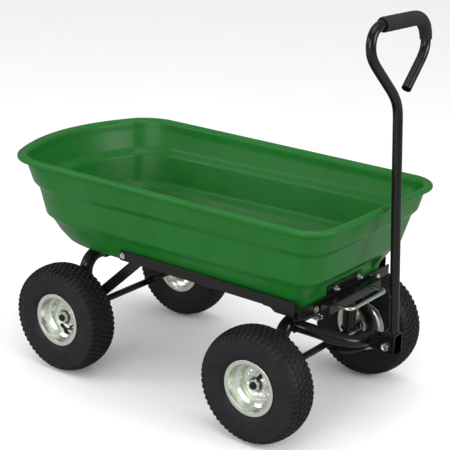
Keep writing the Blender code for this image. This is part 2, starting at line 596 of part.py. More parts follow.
def tub(tunnels):
    """Moulded tub with a rolled rim and two stepped ledges, its hinge saddles and latch striker."""
    cut_out = between(OUTSIDE[10], OUTSIDE[11], NICHE_Z)
    cut_in = between(INSIDE[5], INSIDE[6], NICHE_Z + TUB_T)
    cut_in_low = between(INSIDE[5], INSIDE[6], NICHE_Z + TUB_T - 0.001)
    cut_out_low = between(OUTSIDE[10], OUTSIDE[11], NICHE_Z - 0.001)
    rows = [(OUTSIDE[12], 0.0, True), (OUTSIDE[11], 0.0, True), (cut_out_low, 0.0, True), (cut_out, 0.0, False)]
    rows += [(level, 0.0, False) for level in OUTSIDE[10::-1]]
    rows += [(level, TUB_T, False) for level in INSIDE[:6]]
    rows += [(cut_in, TUB_T, False), (cut_in_low, TUB_T, True), (INSIDE[6], TUB_T, True),
             (INSIDE[7], TUB_T, True)]
    bm = bmesh.new()
    rings = [[bm.verts.new(p) for p in outline(*row)] for row in rows]
    skin(bm, rings, ends="cap")
    hinge = (REAR_X, 0.0, HOOP_Z)
    body = place("tub", bm, "green_plastic", origin=hinge)

    for tag, side in (("left", 1.0), ("right", -1.0)):
        reach, top = 0.0205, TUB_FLOOR - GAP
        strap = [(REAR_X + 0.036, top), (REAR_X - 0.036, top), (REAR_X - 0.036, top - 0.003)]
        for i in range(9):
            turn = math.pi * (1.0 + i / 8)
            strap.append((REAR_X + reach * math.cos(turn), HOOP_Z + reach * math.sin(turn)))
        strap.append((REAR_X + 0.036, top - 0.003))
        low, high = sorted((side * 0.060, side * 0.090))
        saddle = place("tub_hinge_" + tag, prism(strap, "Y", low, high), "black_steel", smooth=False,
                       origin=hinge)
        combine(saddle, bore("hinge_tool_" + tag, (REAR_X, low - 0.005, HOOP_Z), (0.0, 1.0, 0.0),
                             TUBE_R + 0.0008, 0.040, 24))

    front, thick, half = NICHE_X + 0.0008, 0.0025, 0.0695
    striker = place("latch_striker", box((front, -half, 0.2830), (front + thick, half, 0.3225)),
                    "black_steel", smooth=False, origin=hinge)
    for tunnel in tunnels:
        combine(striker, tunnel)
    head = 0.0048                                  # seat of the bolt head, inside the tub
    nut_at = head + TUB_T + GAP + 0.0008 + thick + GAP
    for tag, side in (("left", 1.0), ("right", -1.0)):
        start = Vector((NICHE_X - TUB_T - GAP - head, side * 0.0465, 0.3135))
        hole = bore("striker_hole_" + tag, start - Vector((0.004, 0.0, 0.0)), (1.0, 0.0, 0.0), 0.0046,
                    0.028, 12)
        combine(body, hole)
        combine(striker, hole)
        bolt = ((0.0, 0.0060, "round"), (0.0035, 0.0095, "round"), (head, 0.0095, "round"),
                (head, 0.0040, "round"), (nut_at, 0.0040, "round"), (nut_at, 0.0066, "hex"),
                (nut_at + 0.0065, 0.0066, "hex"), (nut_at + 0.0065, 0.0038, "round"),
                (nut_at + 0.0140, 0.0034, "round"))
        place("striker_bolt_" + tag, turned(bolt, start, (1.0, 0.0, 0.0)), "zinc_steel", origin=hinge)


def latch():
    """Bent rod pulled forward by hand; its two tips reach back towards the striker."""
    tip, nose, bend = CROSS_X - 0.0027, REAR_X + 0.6880, 0.013
    half = [Vector((tip, -LATCH_Y, LATCH_Z)), Vector((nose - bend, -LATCH_Y, LATCH_Z))]
    for i in range(1, 5):
        turn = (math.pi / 2.0) * i / 4
        half.append(Vector((nose - bend + bend * math.sin(turn), -LATCH_Y + bend - bend * math.cos(turn),
                            LATCH_Z)))
    path = half + [Vector((p.x, -p.y, p.z)) for p in reversed(half)]
    place("latch_handle", sweep(path, LATCH_R), "zinc_steel", origin=(nose, 0.0, LATCH_Z))


clear_scene()
for end, axle_x in (("rear", REAR_X), ("front", FRONT_X)):
    for flank, sign in (("left", 1.0), ("right", -1.0)):
        wheel(end + "_" + flank, axle_x, sign)
rear_frame()
rails()
latch_tunnels, kingpin_tool = front_frame()
turntable(kingpin_tool)
handle(tongue())
tub(latch_tunnels)
latch()
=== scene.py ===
# %% [markdown]
# # Garden dump cart: the looks
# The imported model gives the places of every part. Each part below is made again as a fine surface and
# rides on the body that moves it, so the tub still tips, the front axle steers and the wheels turn.

# %% The frame
import math

import bpy
import numpy as np
from mathutils import Matrix, Vector


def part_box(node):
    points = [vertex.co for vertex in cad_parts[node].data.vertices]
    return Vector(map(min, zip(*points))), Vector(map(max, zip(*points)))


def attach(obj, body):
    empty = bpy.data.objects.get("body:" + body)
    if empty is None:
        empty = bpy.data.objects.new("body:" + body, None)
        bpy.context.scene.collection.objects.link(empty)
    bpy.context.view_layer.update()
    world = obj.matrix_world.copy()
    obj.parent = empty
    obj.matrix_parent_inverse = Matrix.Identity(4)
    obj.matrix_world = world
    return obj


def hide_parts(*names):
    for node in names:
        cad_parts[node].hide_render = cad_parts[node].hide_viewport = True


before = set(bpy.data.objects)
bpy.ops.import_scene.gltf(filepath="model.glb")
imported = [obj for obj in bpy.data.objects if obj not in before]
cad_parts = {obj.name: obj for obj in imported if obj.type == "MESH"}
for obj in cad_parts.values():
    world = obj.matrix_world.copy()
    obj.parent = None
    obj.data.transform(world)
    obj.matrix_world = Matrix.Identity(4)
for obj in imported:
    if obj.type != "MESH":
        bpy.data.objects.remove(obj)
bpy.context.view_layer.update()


def middle(node):
    """Centre of a node's box, as an array."""
    low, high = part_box(node)
    return (np.array(low) + np.array(high)) / 2.0


def far(node, axis):
    """Largest coordinate of a node along one axis."""
    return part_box(node)[1][axis]


REAR_X, FRONT_X = middle("rear_axle")[0], middle("front_axle")[0]
AXLE_Z = middle("rear_axle")[2]
TYRE_R = AXLE_Z
WHEEL_Y = middle("tyre_rear_left")[1]
GAP = 0.0003
print("wheelbase", round(FRONT_X - REAR_X, 4), "track", round(2 * WHEEL_Y, 4))

# %% [markdown]
# ## Making surfaces
# Every part is a net of points worked out by a formula: a profile turned about an axis, a ring carried
# along a path, or an outline drawn out straight. These few functions are all the shaping tools.

# %% Surface tools


def unit(v):
    """Vectors of length one."""
    v = np.asarray(v, float)
    return v / np.maximum(np.linalg.norm(v, axis=-1, keepdims=True), 1e-12)


def angles(count):
    """Equal steps once round."""
    return 2.0 * np.pi * np.arange(count) / count


def rounded(points, radius, steps=4, closed=True):
    """Corner P becomes the curve (1-t)^2 A + 2t(1-t) P + t^2 B, with A and B the given distance from P
    along its two edges, and never past 0.45 of an edge."""
    points = np.asarray(points, float)
    reach = np.asarray(radius, float)
    reach = reach.reshape(reach.shape + (1,) * (points.ndim - reach.ndim)) if reach.ndim else reach

    def towards(other):
        gap = other - points
        size = np.linalg.norm(gap, axis=-1, keepdims=True)
        return points + gap * np.minimum(reach / np.maximum(size, 1e-9), 0.45)

    a, b = towards(np.roll(points, 1, 0)), towards(np.roll(points, -1, 0))
    t = np.linspace(0.0, 1.0, steps + 1).reshape(-1, *[1] * points.ndim)
    arcs = (1 - t) ** 2 * a + 2 * t * (1 - t) * points + t * t * b
    out = np.moveaxis(arcs, 0, 1).reshape(-1, *points.shape[1:])
    if closed:
        return out
    return np.concatenate([points[:1], out[steps + 1:-(steps + 1)], points[-1:]])


def refined(points, step, closed=True):
    """The same outline with extra points, so that none are further apart than step."""
    points = np.asarray(points, float)
    ends = np.roll(points, -1, 0) if closed else points[1:]
    out = []
    for a, b in zip(points, ends):
        count = max(1, int(np.ceil(np.linalg.norm(b - a) / step)))
        out.append(a + (b - a) * (np.arange(count) / count)[:, None])
    if not closed:
        out.append(points[-1:])
    return np.concatenate(out)


def curve(a, b, c, d, count=16):
    """Cubic curve (1-t)^3 A + 3t(1-t)^2 B + 3t^2(1-t) C + t^3 D."""
    t = np.linspace(0.0, 1.0, count + 1)[:, None]
    a, b, c, d = (np.asarray(p, float) for p in (a, b, c, d))
    return (1 - t) ** 3 * a + 3 * t * (1 - t) ** 2 * b + 3 * t * t * (1 - t) * c + t ** 3 * d


def evenly(path, step):
    """Points at equal steps of length along a path."""
    path = np.asarray(path, float)
    run = np.concatenate([[0.0], np.cumsum(np.linalg.norm(np.diff(path, axis=0), axis=1))])
    at = np.linspace(0.0, run[-1], max(2, int(run[-1] / step) + 1))
    return np.stack([np.interp(at, run, path[:, k]) for k in range(3)], 1)


def volume_of(points, faces):
    """Six times the volume that the faces enclose; negative when they face inward."""
    total = 0.0
    for block in faces:
        for j in range(1, block.shape[1] - 1):
            a, b, c = points[block[:, 0]], points[block[:, j]], points[block[:, j + 1]]
            total += np.einsum("ij,ij->", a, np.cross(b, c))
    return total


def net(points, around_rows=False, around_cols=True, caps=True):
    """Faces over an array of points (rows, columns, 3), turned so that they face outward. Rows that do not
    meet are closed by one flat face at each end."""
    rows, cols = points.shape[:2]
    index = np.arange(rows * cols).reshape(rows, cols)
    first, last = index[0][None], index[-1][None]
    if around_rows:
        index = np.vstack([index, index[:1]])
    if around_cols:
        index = np.hstack([index, index[:, :1]])
    quads = np.stack([index[:-1, :-1], index[:-1, 1:], index[1:, 1:], index[1:, :-1]], -1).reshape(-1, 4)
    faces = [quads] + ([first[:, ::-1], last] if caps and not around_rows else [])
    flat = points.reshape(-1, 3)
    centred = flat - flat.mean(0)
    if volume_of(centred, faces) < 0.0:
        faces = [block[:, ::-1] for block in faces]
    return flat, faces


def axes(along):
    """Two directions square to the given one, and that one."""
    w = unit(along)
    u = unit(np.cross(w, [0.0, 0.0, 1.0] if abs(w[2]) < 0.9 else [1.0, 0.0, 0.0]))
    return u, np.cross(w, u), w


def turned(profile, centre, along, count=48, closed=False):
    """A profile of (radius, distance) turned about an axis: centre + distance w + radius (cos t u + sin t v).
    The radius may also be an array with one value for each angle."""
    u, v, w = axes(along)
    t = angles(count)
    radius = np.stack([np.broadcast_to(row[0], count) for row in profile])[..., None]
    reach = np.stack([np.broadcast_to(row[1], count) for row in profile])[..., None]
    ring = np.cos(t)[:, None] * u + np.sin(t)[:, None] * v
    return net(np.asarray(centre, float) + reach * w + radius * ring, around_rows=closed)


def tube(path, radius, square, count=24, wall=0.0):
    """A ring of the given radius carried along a path: path + radius (cos t u + sin t v), with u square to
    both the path and a fixed direction. With a wall the tube is hollow and its ends are open rings."""
    path = np.asarray(path, float)
    radius = np.broadcast_to(radius, len(path))[:, None, None]
    tangent = unit(np.gradient(path, axis=0))
    u = unit(np.cross(tangent, square))
    v = np.cross(tangent, u)
    t = angles(count)
    ring = np.cos(t)[:, None] * u[:, None] + np.sin(t)[:, None] * v[:, None]
    outer = path[:, None] + radius * ring
    if not wall:
        return net(outer)
    inner = path[:, None] + (radius - wall) * ring
    return net(np.concatenate([outer, inner[::-1]]), around_rows=True)


def drawn(outline, axis, low, high):
    """A flat outline drawn out straight along X, Y or Z; the outline holds the other two coordinates."""
    outline = np.asarray(outline, float)
    k = "XYZ".index(axis)
    rows = [np.insert(outline, k, level, axis=1) for level in (low, high)]
    return net(np.stack(rows))


def hexagon(flats, count):
    """Radius at each angle of a hexagon with the given half width across its flats."""
    t = angles(count)
    return flats / np.cos((t + np.pi / 6) % (np.pi / 3) - np.pi / 6)


def hexed(low, high, flats, count=48):
    """Profile rows of a hexagonal block: the smaller of the hexagon and a cone that cuts its corners."""
    corner, face = flats / math.cos(math.pi / 6), flats * 0.95
    cut = min((corner - face) * 0.55, (high - low) * 0.3)
    rows = [(np.minimum(hexagon(flats, count), face + (corner - face) * s), low + cut * s * s)
            for s in (0.0, 0.35, 0.7, 1.0)]
    return rows + [(r, high - (a - low)) for r, a in reversed(rows)]


def threaded(low, high, radius, pitch=0.00125, count=48):
    """Rows of a screw thread: radius minus a small depth times a wave that climbs one pitch a turn."""
    t = angles(count)
    steps = np.linspace(low, high, max(4, int((high - low) / pitch * 6)))
    return [(radius - 0.00032 * (0.5 + 0.5 * np.cos(2.0 * np.pi * a / pitch - t)), a) for a in steps]


def weld_bead(centre, along, radius, thick=0.0026):
    """A ring of weld metal: a torus whose thickness ripples 40 times round."""
    t, s = angles(160), angles(10)
    u, v, w = axes(along)
    swell = thick * (1.0 + 0.16 * np.cos(40 * t) + 0.08 * np.sin(7 * t))[:, None, None]
    out = (np.cos(t)[:, None] * u + np.sin(t)[:, None] * v)[:, None]
    around = np.cos(s)[None, :, None] * out + np.sin(s)[None, :, None] * w
    return net(np.asarray(centre, float) + radius * out + swell * around, around_rows=True)


# %% [markdown]
# ## Finishes
# The effects that several finishes share are node groups: the fine skin of powder coat, worn edges,
# settled dust, hairline scratches, the bloom of zinc plate, and the grain a mould leaves in plastic.

# %% Node tools


def fed(tree, made, inputs):
    """Gives a node its values and its links."""
    for key, value in inputs.items():
        if isinstance(value, bpy.types.NodeSocket):
            tree.links.new(value, made.inputs[key])
        else:
            made.inputs[key].default_value = value
    return made


def add(tree, kind, inputs=None, **settings):
    """One shader node with its settings, its values and its links."""
    made = tree.nodes.new("ShaderNode" + kind)
    for key, value in settings.items():
        setattr(made, key, value)
    return fed(tree, made, inputs or {})


def new_group(name, wants, gives):
    """An empty group that takes a position and the wanted numbers; gives its tree, position and input."""
    tree = bpy.data.node_groups.new(name, "ShaderNodeTree")
    tree.interface.new_socket("Position", in_out="INPUT", socket_type="NodeSocketVector")
    for label, usual in wants.items():
        tree.interface.new_socket(label, in_out="INPUT", socket_type="NodeSocketFloat").default_value = usual
    for label, kind in gives.items():
        tree.interface.new_socket(label, in_out="OUTPUT", socket_type="NodeSocket" + kind)
    given = tree.nodes.new("NodeGroupInput")
    return tree, given.outputs["Position"], given


def closed_off(tree, *results):
    """The group with its results joined to its output sockets, in their order."""
    out = tree.nodes.new("NodeGroupOutput")
    for k, result in enumerate(results):
        tree.links.new(result, out.inputs[k])
    return tree


def math_node(tree, what, a, b=0.0):
    """Result socket of one sum."""
    return add(tree, "Math", {0: a, 1: b}, operation=what).outputs[0]


def times(tree, a, b):
    """Product of two values."""
    return math_node(tree, "MULTIPLY", a, b)


def plus(tree, a, b):
    """Sum of two values."""
    return math_node(tree, "ADD", a, b)


def ramp(tree, value, low, high, out_low=0.0, out_high=1.0):
    """Value stretched from low..high to out_low..out_high and held at the ends."""
    return add(tree, "MapRange", {"Value": value, "From Min": low, "From Max": high, "To Min": out_low,
                                  "To Max": out_high}, clamp=True).outputs[0]


def noise(tree, where, scale, detail, **more):
    """Value of a cloudy noise; a larger scale is finer."""
    return add(tree, "TexNoise", {"Vector": where, "Scale": scale, "Detail": detail, **more}).outputs[0]


def hollows(tree, distance, low, high):
    """1 in corners and recesses about as deep as the distance, 0 on open faces."""
    open_air = add(tree, "AmbientOcclusion", {"Distance": distance}, samples=4).outputs["AO"]
    return ramp(tree, open_air, low, high)


def mix_colour(tree, factor, a, b):
    """Colour a blended towards colour b, both as (red, green, blue) or sockets."""
    a, b = (tuple(c) + (1.0,) if isinstance(c, tuple) else c for c in (a, b))
    return add(tree, "Mix", {0: factor, 6: a, 7: b}, data_type="RGBA").outputs[2]


# %% Shared effects


def skin_bump():
    """A fine uneven skin."""
    tree, where, given = new_group("skin_bump", {"Scale": 900.0, "Depth": 0.0001}, {"Normal": "Vector"})
    height = noise(tree, where, given.outputs["Scale"], 2.0)
    bump = add(tree, "Bump", {"Height": height, "Distance": given.outputs["Depth"], "Strength": 1.0})
    return closed_off(tree, bump.outputs[0])


def edge_wear():
    """1 on worn edges, in patches: where a bevelled normal turns away from the true one."""
    tree, where, given = new_group("edge_wear", {"Radius": 0.0012}, {"Mask": "Float"})
    bevel = add(tree, "Bevel", {"Radius": given.outputs["Radius"]}, samples=4)
    flat = add(tree, "NewGeometry")
    dot = add(tree, "VectorMath", {0: bevel.outputs[0], 1: flat.outputs["Normal"]}, operation="DOT_PRODUCT")
    edge = ramp(tree, dot.outputs["Value"], 0.985, 0.90)
    return closed_off(tree, times(tree, edge, ramp(tree, noise(tree, where, 90.0, 4.0), 0.50, 0.66)))


def settled_dust():
    """1 where dust lies: on faces that look up, in clouds broken by fine specks."""
    tree, where, _ = new_group("settled_dust", {}, {"Mask": "Float"})
    up = add(tree, "SeparateXYZ", {0: add(tree, "TexCoord").outputs["Normal"]})
    cloud = noise(tree, where, 14.0, 6.0, Roughness=0.65)
    soft = times(tree, ramp(tree, up.outputs[2], 0.15, 0.95), ramp(tree, cloud, 0.42, 0.70))
    speck = noise(tree, where, 320.0, 2.0)
    return closed_off(tree, times(tree, soft, ramp(tree, speck, 0.35, 0.65, 0.4, 1.0)))


def hairlines():
    """1 on hairline scratches that lie in two directions, in patches."""
    tree, where, given = new_group("hairlines", {"Scale": 60.0}, {"Mask": "Float"})
    total = None
    for turn in (0.4, 1.3):
        lie = add(tree, "Mapping", {"Vector": where, "Rotation": (turn, 0.7 * turn, turn),
                                    "Scale": (1.0, 14.0, 1.0)})
        line = noise(tree, lie.outputs[0], given.outputs["Scale"], 3.0)
        near = math_node(tree, "ABSOLUTE", math_node(tree, "SUBTRACT", line, 0.5))
        thin = ramp(tree, near, 0.010, 0.002)
        total = thin if total is None else math_node(tree, "MAXIMUM", total, thin)
    return closed_off(tree, times(tree, total, ramp(tree, noise(tree, where, 9.0, 2.0), 0.45, 0.62)))


def zinc_bloom():
    """Tint: clouds of bloom on zinc plate. Dull: the same clouds over fine crystals."""
    tree, where, given = new_group("zinc_bloom", {"Scale": 55.0}, {"Tint": "Float", "Dull": "Float"})
    tint = ramp(tree, noise(tree, where, given.outputs["Scale"], 4.0, Distortion=0.6), 0.30, 0.68)
    grain = add(tree, "TexVoronoi", {"Vector": where, "Scale": 900.0})
    shade = add(tree, "SeparateXYZ", {0: grain.outputs["Color"]})
    dull = plus(tree, times(tree, shade.outputs[0], 0.35), times(tree, tint, 0.65))
    return closed_off(tree, tint, dull)


def mould_grain():
    """Normal: the leathery cells of a mould on slow waves. Flow: long soft streaks down the walls."""
    tree, where, given = new_group("mould_grain", {"Scale": 700.0, "Depth": 0.00008},
                                   {"Normal": "Vector", "Flow": "Float"})
    cells = add(tree, "TexVoronoi", {"Vector": where, "Scale": given.outputs["Scale"]}, feature="SMOOTH_F1")
    height = plus(tree, cells.outputs["Distance"], times(tree, noise(tree, where, 26.0, 2.0), 2.2))
    bump = add(tree, "Bump", {"Height": height, "Distance": given.outputs["Depth"], "Strength": 1.0})
    lie = add(tree, "Mapping", {"Vector": where, "Scale": (1.0, 1.0, 0.25)})
    flow = noise(tree, lie.outputs[0], 7.0, 5.0, Distortion=0.8)
    return closed_off(tree, bump.outputs[0], ramp(tree, flow, 0.3, 0.7))


GROUPS = {"skin": skin_bump(), "edge": edge_wear(), "dust": settled_dust(), "hairlines": hairlines(),
          "bloom": zinc_bloom(), "grain": mould_grain()}


def begin(name, **fixed):
    """A new finish: its tree, its Principled shader and the object-space position socket."""
    mat = bpy.data.materials.new(name)
    mat.use_nodes = True
    tree = mat.node_tree
    shader = tree.nodes["Principled BSDF"]
    for label, value in fixed.items():
        shader.inputs[label.replace("_", " ")].default_value = value
    return mat, tree, shader, add(tree, "TexCoord").outputs["Object"]


def effect(tree, which, here, **values):
    """Result sockets of one shared effect."""
    made = tree.nodes.new("ShaderNodeGroup")
    made.node_tree = GROUPS[which]
    return fed(tree, made, {"Position": here, **values}).outputs


def clothed(mat, base, rough, normal):
    """The finish with its colour, its roughness and its surface normal joined to the shader."""
    fed(mat.node_tree, mat.node_tree.nodes["Principled BSDF"],
        {"Base Color": base, "Roughness": rough, "Normal": normal})
    return mat


# %% The finishes themselves


def coated_steel(name, colour=(0.0060, 0.0056, 0.0050), smooth=0.17):
    """Gloss black powder coat: orange-peel skin, dust on upper faces, bare metal grey on worn edges."""
    mat, tree, _, here = begin(name, Specular_IOR_Level=0.30, Coat_Weight=0.06, Coat_Roughness=0.08)
    dust = effect(tree, "dust", here)[0]
    worn = effect(tree, "edge", here, Radius=0.0010)[0]
    lines = effect(tree, "hairlines", here, Scale=70.0)[0]
    base = mix_colour(tree, times(tree, dust, 0.10), colour, (0.16, 0.135, 0.10))
    base = mix_colour(tree, times(tree, worn, 0.35), base, (0.10, 0.095, 0.09))
    rough = plus(tree, plus(tree, times(tree, dust, 0.35), smooth), times(tree, lines, 0.12))
    return clothed(mat, base, rough, effect(tree, "skin", here, Scale=650.0, Depth=0.00010)[0])


def zinc_plate(name, clean, bloomed, smooth=0.16, scale=55.0):
    """Bright zinc plate: clean metal clouded by a yellow-green bloom, fine crystals, hairlines, and painted
    shade that darkens its recesses.
    """
    mat, tree, _, here = begin(name, Metallic=1.0)
    bloom = effect(tree, "bloom", here, Scale=scale)
    lines = effect(tree, "hairlines", here, Scale=120.0)[0]
    base = mix_colour(tree, bloom["Tint"], clean, bloomed)
    # painted shade: the metal colour is darkened in corners and recesses, where shade falls
    recess_shade = times(tree, hollows(tree, 0.006, 0.75, 0.25), 0.40)
    base = mix_colour(tree, recess_shade, base, (0.26, 0.27, 0.24))
    rough = plus(tree, plus(tree, times(tree, bloom["Dull"], 0.16), smooth), times(tree, lines, 0.10))
    return clothed(mat, base, rough, effect(tree, "skin", here, Scale=1400.0, Depth=0.00004)[0])


def moulded_green(name):
    """Moulded tub plastic: mid green with slow flow streaks, a fine grain, scuffed edges, a little dust."""
    mat, tree, _, here = begin(name, Specular_IOR_Level=0.22)
    grain = effect(tree, "grain", here, Scale=520.0, Depth=0.00009)
    dust = effect(tree, "dust", here)[0]
    lines = effect(tree, "hairlines", here, Scale=40.0)[0]
    worn = effect(tree, "edge", here, Radius=0.0018)[0]
    base = mix_colour(tree, grain["Flow"], (0.0085, 0.122, 0.0150), (0.0110, 0.140, 0.0185))
    pale = plus(tree, times(tree, worn, 0.22), times(tree, lines, 0.05))
    base = mix_colour(tree, pale, base, (0.22, 0.42, 0.22))
    base = mix_colour(tree, times(tree, dust, 0.05), base, (0.30, 0.34, 0.22))
    rough = plus(tree, plus(tree, times(tree, grain["Flow"], 0.08), 0.27), times(tree, dust, 0.20))
    return clothed(mat, base, rough, grain["Normal"])


def rubber(name, dark, pale, smooth=0.44, dusty=0.16):
    """Black rubber: slightly blue-black, fine pitted skin, earth dust in the recesses and on top."""
    mat, tree, _, here = begin(name, Specular_IOR_Level=0.22)
    cloud = noise(tree, here, 30.0, 6.0, Roughness=0.6)
    dust = effect(tree, "dust", here)[0]
    base = mix_colour(tree, ramp(tree, cloud, 0.35, 0.68), dark, pale)
    recess = times(tree, hollows(tree, 0.004, 0.80, 0.35), 0.5)
    soil = times(tree, math_node(tree, "MAXIMUM", dust, recess), dusty)
    base = mix_colour(tree, soil, base, (0.10, 0.085, 0.065))
    rough = plus(tree, plus(tree, times(tree, cloud, 0.16), smooth), times(tree, soil, 0.30))
    return clothed(mat, base, rough, effect(tree, "skin", here, Scale=900.0, Depth=0.00012)[0])


def foam_rubber(name):
    """Closed-cell foam: dark grey-brown, tiny open cells in its skin, a soft sheen."""
    mat, tree, _, here = begin(name, Sheen_Weight=0.02, Sheen_Roughness=0.6, Specular_IOR_Level=0.15)
    cells = add(tree, "TexVoronoi", {"Vector": here, "Scale": 1100.0})
    pit = ramp(tree, cells.outputs["Distance"], 0.10, 0.55)
    cloud = noise(tree, here, 60.0, 4.0)
    base = mix_colour(tree, pit, (0.009, 0.0085, 0.0075), (0.024, 0.0225, 0.020))
    base = mix_colour(tree, ramp(tree, cloud, 0.4, 0.7, 0.0, 0.35), base, (0.040, 0.037, 0.033))
    bump = add(tree, "Bump", {"Height": pit, "Distance": 0.00025, "Strength": 0.9})
    return clothed(mat, base, ramp(tree, cloud, 0.3, 0.7, 0.78, 0.92), bump.outputs[0])


GREEN = (moulded_green("moulded_green"), "green_plastic")
BLACK = (coated_steel("black_powder_coat"), "black_steel")
ZINC = (zinc_plate("bright_zinc", (0.74, 0.76, 0.77), (0.66, 0.68, 0.60)), "zinc_steel")
RIM_ZINC = (zinc_plate("pressed_rim_zinc", (0.84, 0.87, 0.88), (0.80, 0.82, 0.70), 0.15, 34.0), "zinc_steel")
STEEL = (zinc_plate("ground_bearing_steel", (0.60, 0.61, 0.62), (0.50, 0.50, 0.49), 0.14, 90.0),
         "bearing_steel")
TYRE = (rubber("tyre_rubber", (0.0085, 0.0088, 0.0105), (0.0150, 0.0150, 0.0170)), "tyre_rubber")
STEM = (rubber("valve_rubber", (0.008, 0.008, 0.008), (0.014, 0.014, 0.014), 0.42, 0.15), "valve_rubber")
SEAL = (rubber("bearing_seal", (0.012, 0.011, 0.010), (0.030, 0.024, 0.020), 0.38, 0.25), "bearing_steel")
FOAM = (foam_rubber("grip_foam"), "foam")


# %% Putting a piece in place


def piece(name, parts, finish, body, stands_for=(), round_edges=0.0, sharp=38.0):
    """Makes one named object from surface parts, gives it its finish and lets it ride on its body."""
    loops, sizes, base = [], [], 0
    for points, faces in parts:
        for block in faces:
            loops.append(block.ravel() + base)
            sizes.append(np.full(len(block), block.shape[1]))
        base += len(points)
    loops, sizes = np.concatenate(loops).astype(np.int32), np.concatenate(sizes).astype(np.int32)
    mesh = bpy.data.meshes.new(name)
    mesh.vertices.add(base)
    mesh.vertices.foreach_set("co", np.concatenate([p for p, _ in parts]).astype(np.float32).ravel())
    mesh.loops.add(len(loops))
    mesh.loops.foreach_set("vertex_index", loops)
    mesh.polygons.add(len(sizes))
    mesh.polygons.foreach_set("loop_start", np.concatenate([[0], np.cumsum(sizes)[:-1]]).astype(np.int32))
    mesh.update(calc_edges=True)
    mesh.validate()
    mesh.polygons.foreach_set("use_smooth", np.ones(len(sizes), bool))
    mesh.set_sharp_from_angle(angle=math.radians(sharp))
    mesh.materials.append(finish[0])
    made = bpy.data.objects.new(name, mesh)
    bpy.context.scene.collection.objects.link(made)
    if round_edges:
        step = made.modifiers.new("rounded_edges", "BEVEL")
        step.width, step.segments, step.limit_method = round_edges, 3, "ANGLE"
        step.angle_limit = math.radians(38.0)
    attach(made, body)
    if stands_for:
        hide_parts(*stands_for)
    return made


# %% [markdown]
# ## The tub
# One moulding: a rolled rim, two stepped ledges, a bowed rear and square-shouldered front, with an upright
# niche at the foot of the front wall for the latch striker. Each level of the wall is one closed line.

# %% Tub
REAR_EDGE, FRONT_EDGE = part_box("tub")[0][0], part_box("tub")[1][0]
HALF_REAR, HALF_FRONT = 0.2560, 0.2540
WALL = 0.004
TUB_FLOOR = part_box("tub")[0][2]
NICHE_X, NICHE_Z, NICHE_HALF = REAR_X + 0.6240, 0.3495, 0.113
TUB_MIDDLE_X = REAR_X + 0.243
# rear, side and front inset, height at mid-length, rise per metre towards the front
OUTER_LEVELS = np.array([
    (0.1150, 0.1005, 0.0950, TUB_FLOOR, 0.0), (0.0940, 0.0820, 0.0880, 0.3130, 0.0100),
    (0.0808, 0.0665, 0.0635, 0.3450, 0.0224), (0.0648, 0.0560, 0.0500, 0.3587, 0.0224),
    (0.0510, 0.0400, 0.0332, 0.4255, 0.0190), (0.0368, 0.0300, 0.0215, 0.4398, 0.0175),
    (0.0229, 0.0185, 0.0160, 0.4780, 0.0), (0.0195, 0.0165, 0.0135, 0.4965, 0.0),
    (0.0050, 0.0050, 0.0050, 0.4975, 0.0), (0.0030, 0.0030, 0.0030, 0.4925, 0.0),
    (0.0, 0.0, 0.0, 0.4935, 0.0), (0.0, 0.0, 0.0, 0.5010, 0.0), (0.0060, 0.0060, 0.0060, 0.5060, 0.0)])
INNER_LEVELS = np.array([
    (0.0240, 0.0210, 0.0180, 0.5005, 0.0), (0.0272, 0.0228, 0.0203, 0.4800, 0.0),
    (0.0411, 0.0343, 0.0258, 0.4418, 0.0175), (0.0553, 0.0443, 0.0375, 0.4275, 0.0190),
    (0.0691, 0.0603, 0.0543, 0.3607, 0.0224), (0.0851, 0.0708, 0.0678, 0.3470, 0.0224),
    (0.0983, 0.0863, 0.0923, 0.3150, 0.0100), (0.1180, 0.1030, 0.0965, TUB_FLOOR + WALL, 0.0)])


def wall_line(level, wall=0.0, sunk=False):
    """One level of the wall, rear middle to front middle and back: a bow x = rear + 1.3 y^2, a curved
    corner, a straight side, a tighter corner and a nearly flat front, let in at the niche when sunk."""
    rear_in, side_in, front_in, height, rise = level
    rear, front = REAR_EDGE + rear_in, FRONT_EDGE - front_in
    half_rear, half_front = HALF_REAR - side_in, HALF_FRONT - side_in
    turn_y = 0.205 - side_in * 0.9
    y = np.linspace(0.0, turn_y, 17)
    bow = np.stack([rear + 1.3 * y * y, y], 1)
    corner_x = REAR_EDGE + 0.1395 + rear_in
    tie = 0.030 * unit([2.6 * turn_y, 1.0])
    back = curve(bow[-1], bow[-1] + tie, (corner_x - 0.034, half_rear), (corner_x, half_rear), 20)
    bend = 0.070 - 0.45 * side_in
    turn_x = front - bend
    t = np.linspace(0.0, 1.0, 25)[1:, None]
    side = np.array([corner_x, half_rear]) * (1 - t) + np.array([turn_x, half_front]) * t
    inner_y = half_front - bend - 0.004
    fore = curve((turn_x, half_front), (front - 0.40 * bend, half_front - 0.001),
                 (front - 0.003, half_front - 0.48 * bend), (front - 0.003, inner_y), 20)
    edge = NICHE_HALF + wall
    y = np.concatenate([np.linspace(inner_y, edge + 0.005, 5)[1:], [edge + 0.0035, edge + 0.0015, edge],
                        np.linspace(edge, 0.0, 13)[1:]])
    x = front - 0.003 * np.minimum(1.0, (y / inner_y) ** 2)
    if sunk:
        x = np.where(y < edge + 0.004, np.minimum(x, NICHE_X - wall), x)
    half = np.concatenate([bow, back[1:], side, fore[1:], np.stack([x, y], 1)])
    ring = np.concatenate([half, half[-2:0:-1] * [1.0, -1.0]])
    return np.column_stack([ring, height + rise * (ring[:, 0] - TUB_MIDDLE_X)])


def part_way(lower, upper, height):
    """Level between two others whose front stands at the given height."""
    fronts = [lv[3] + lv[4] * (FRONT_EDGE - lv[2] - TUB_MIDDLE_X) for lv in (lower, upper)]
    return lower + (upper - lower) * (height - fronts[0]) / (fronts[1] - fronts[0])


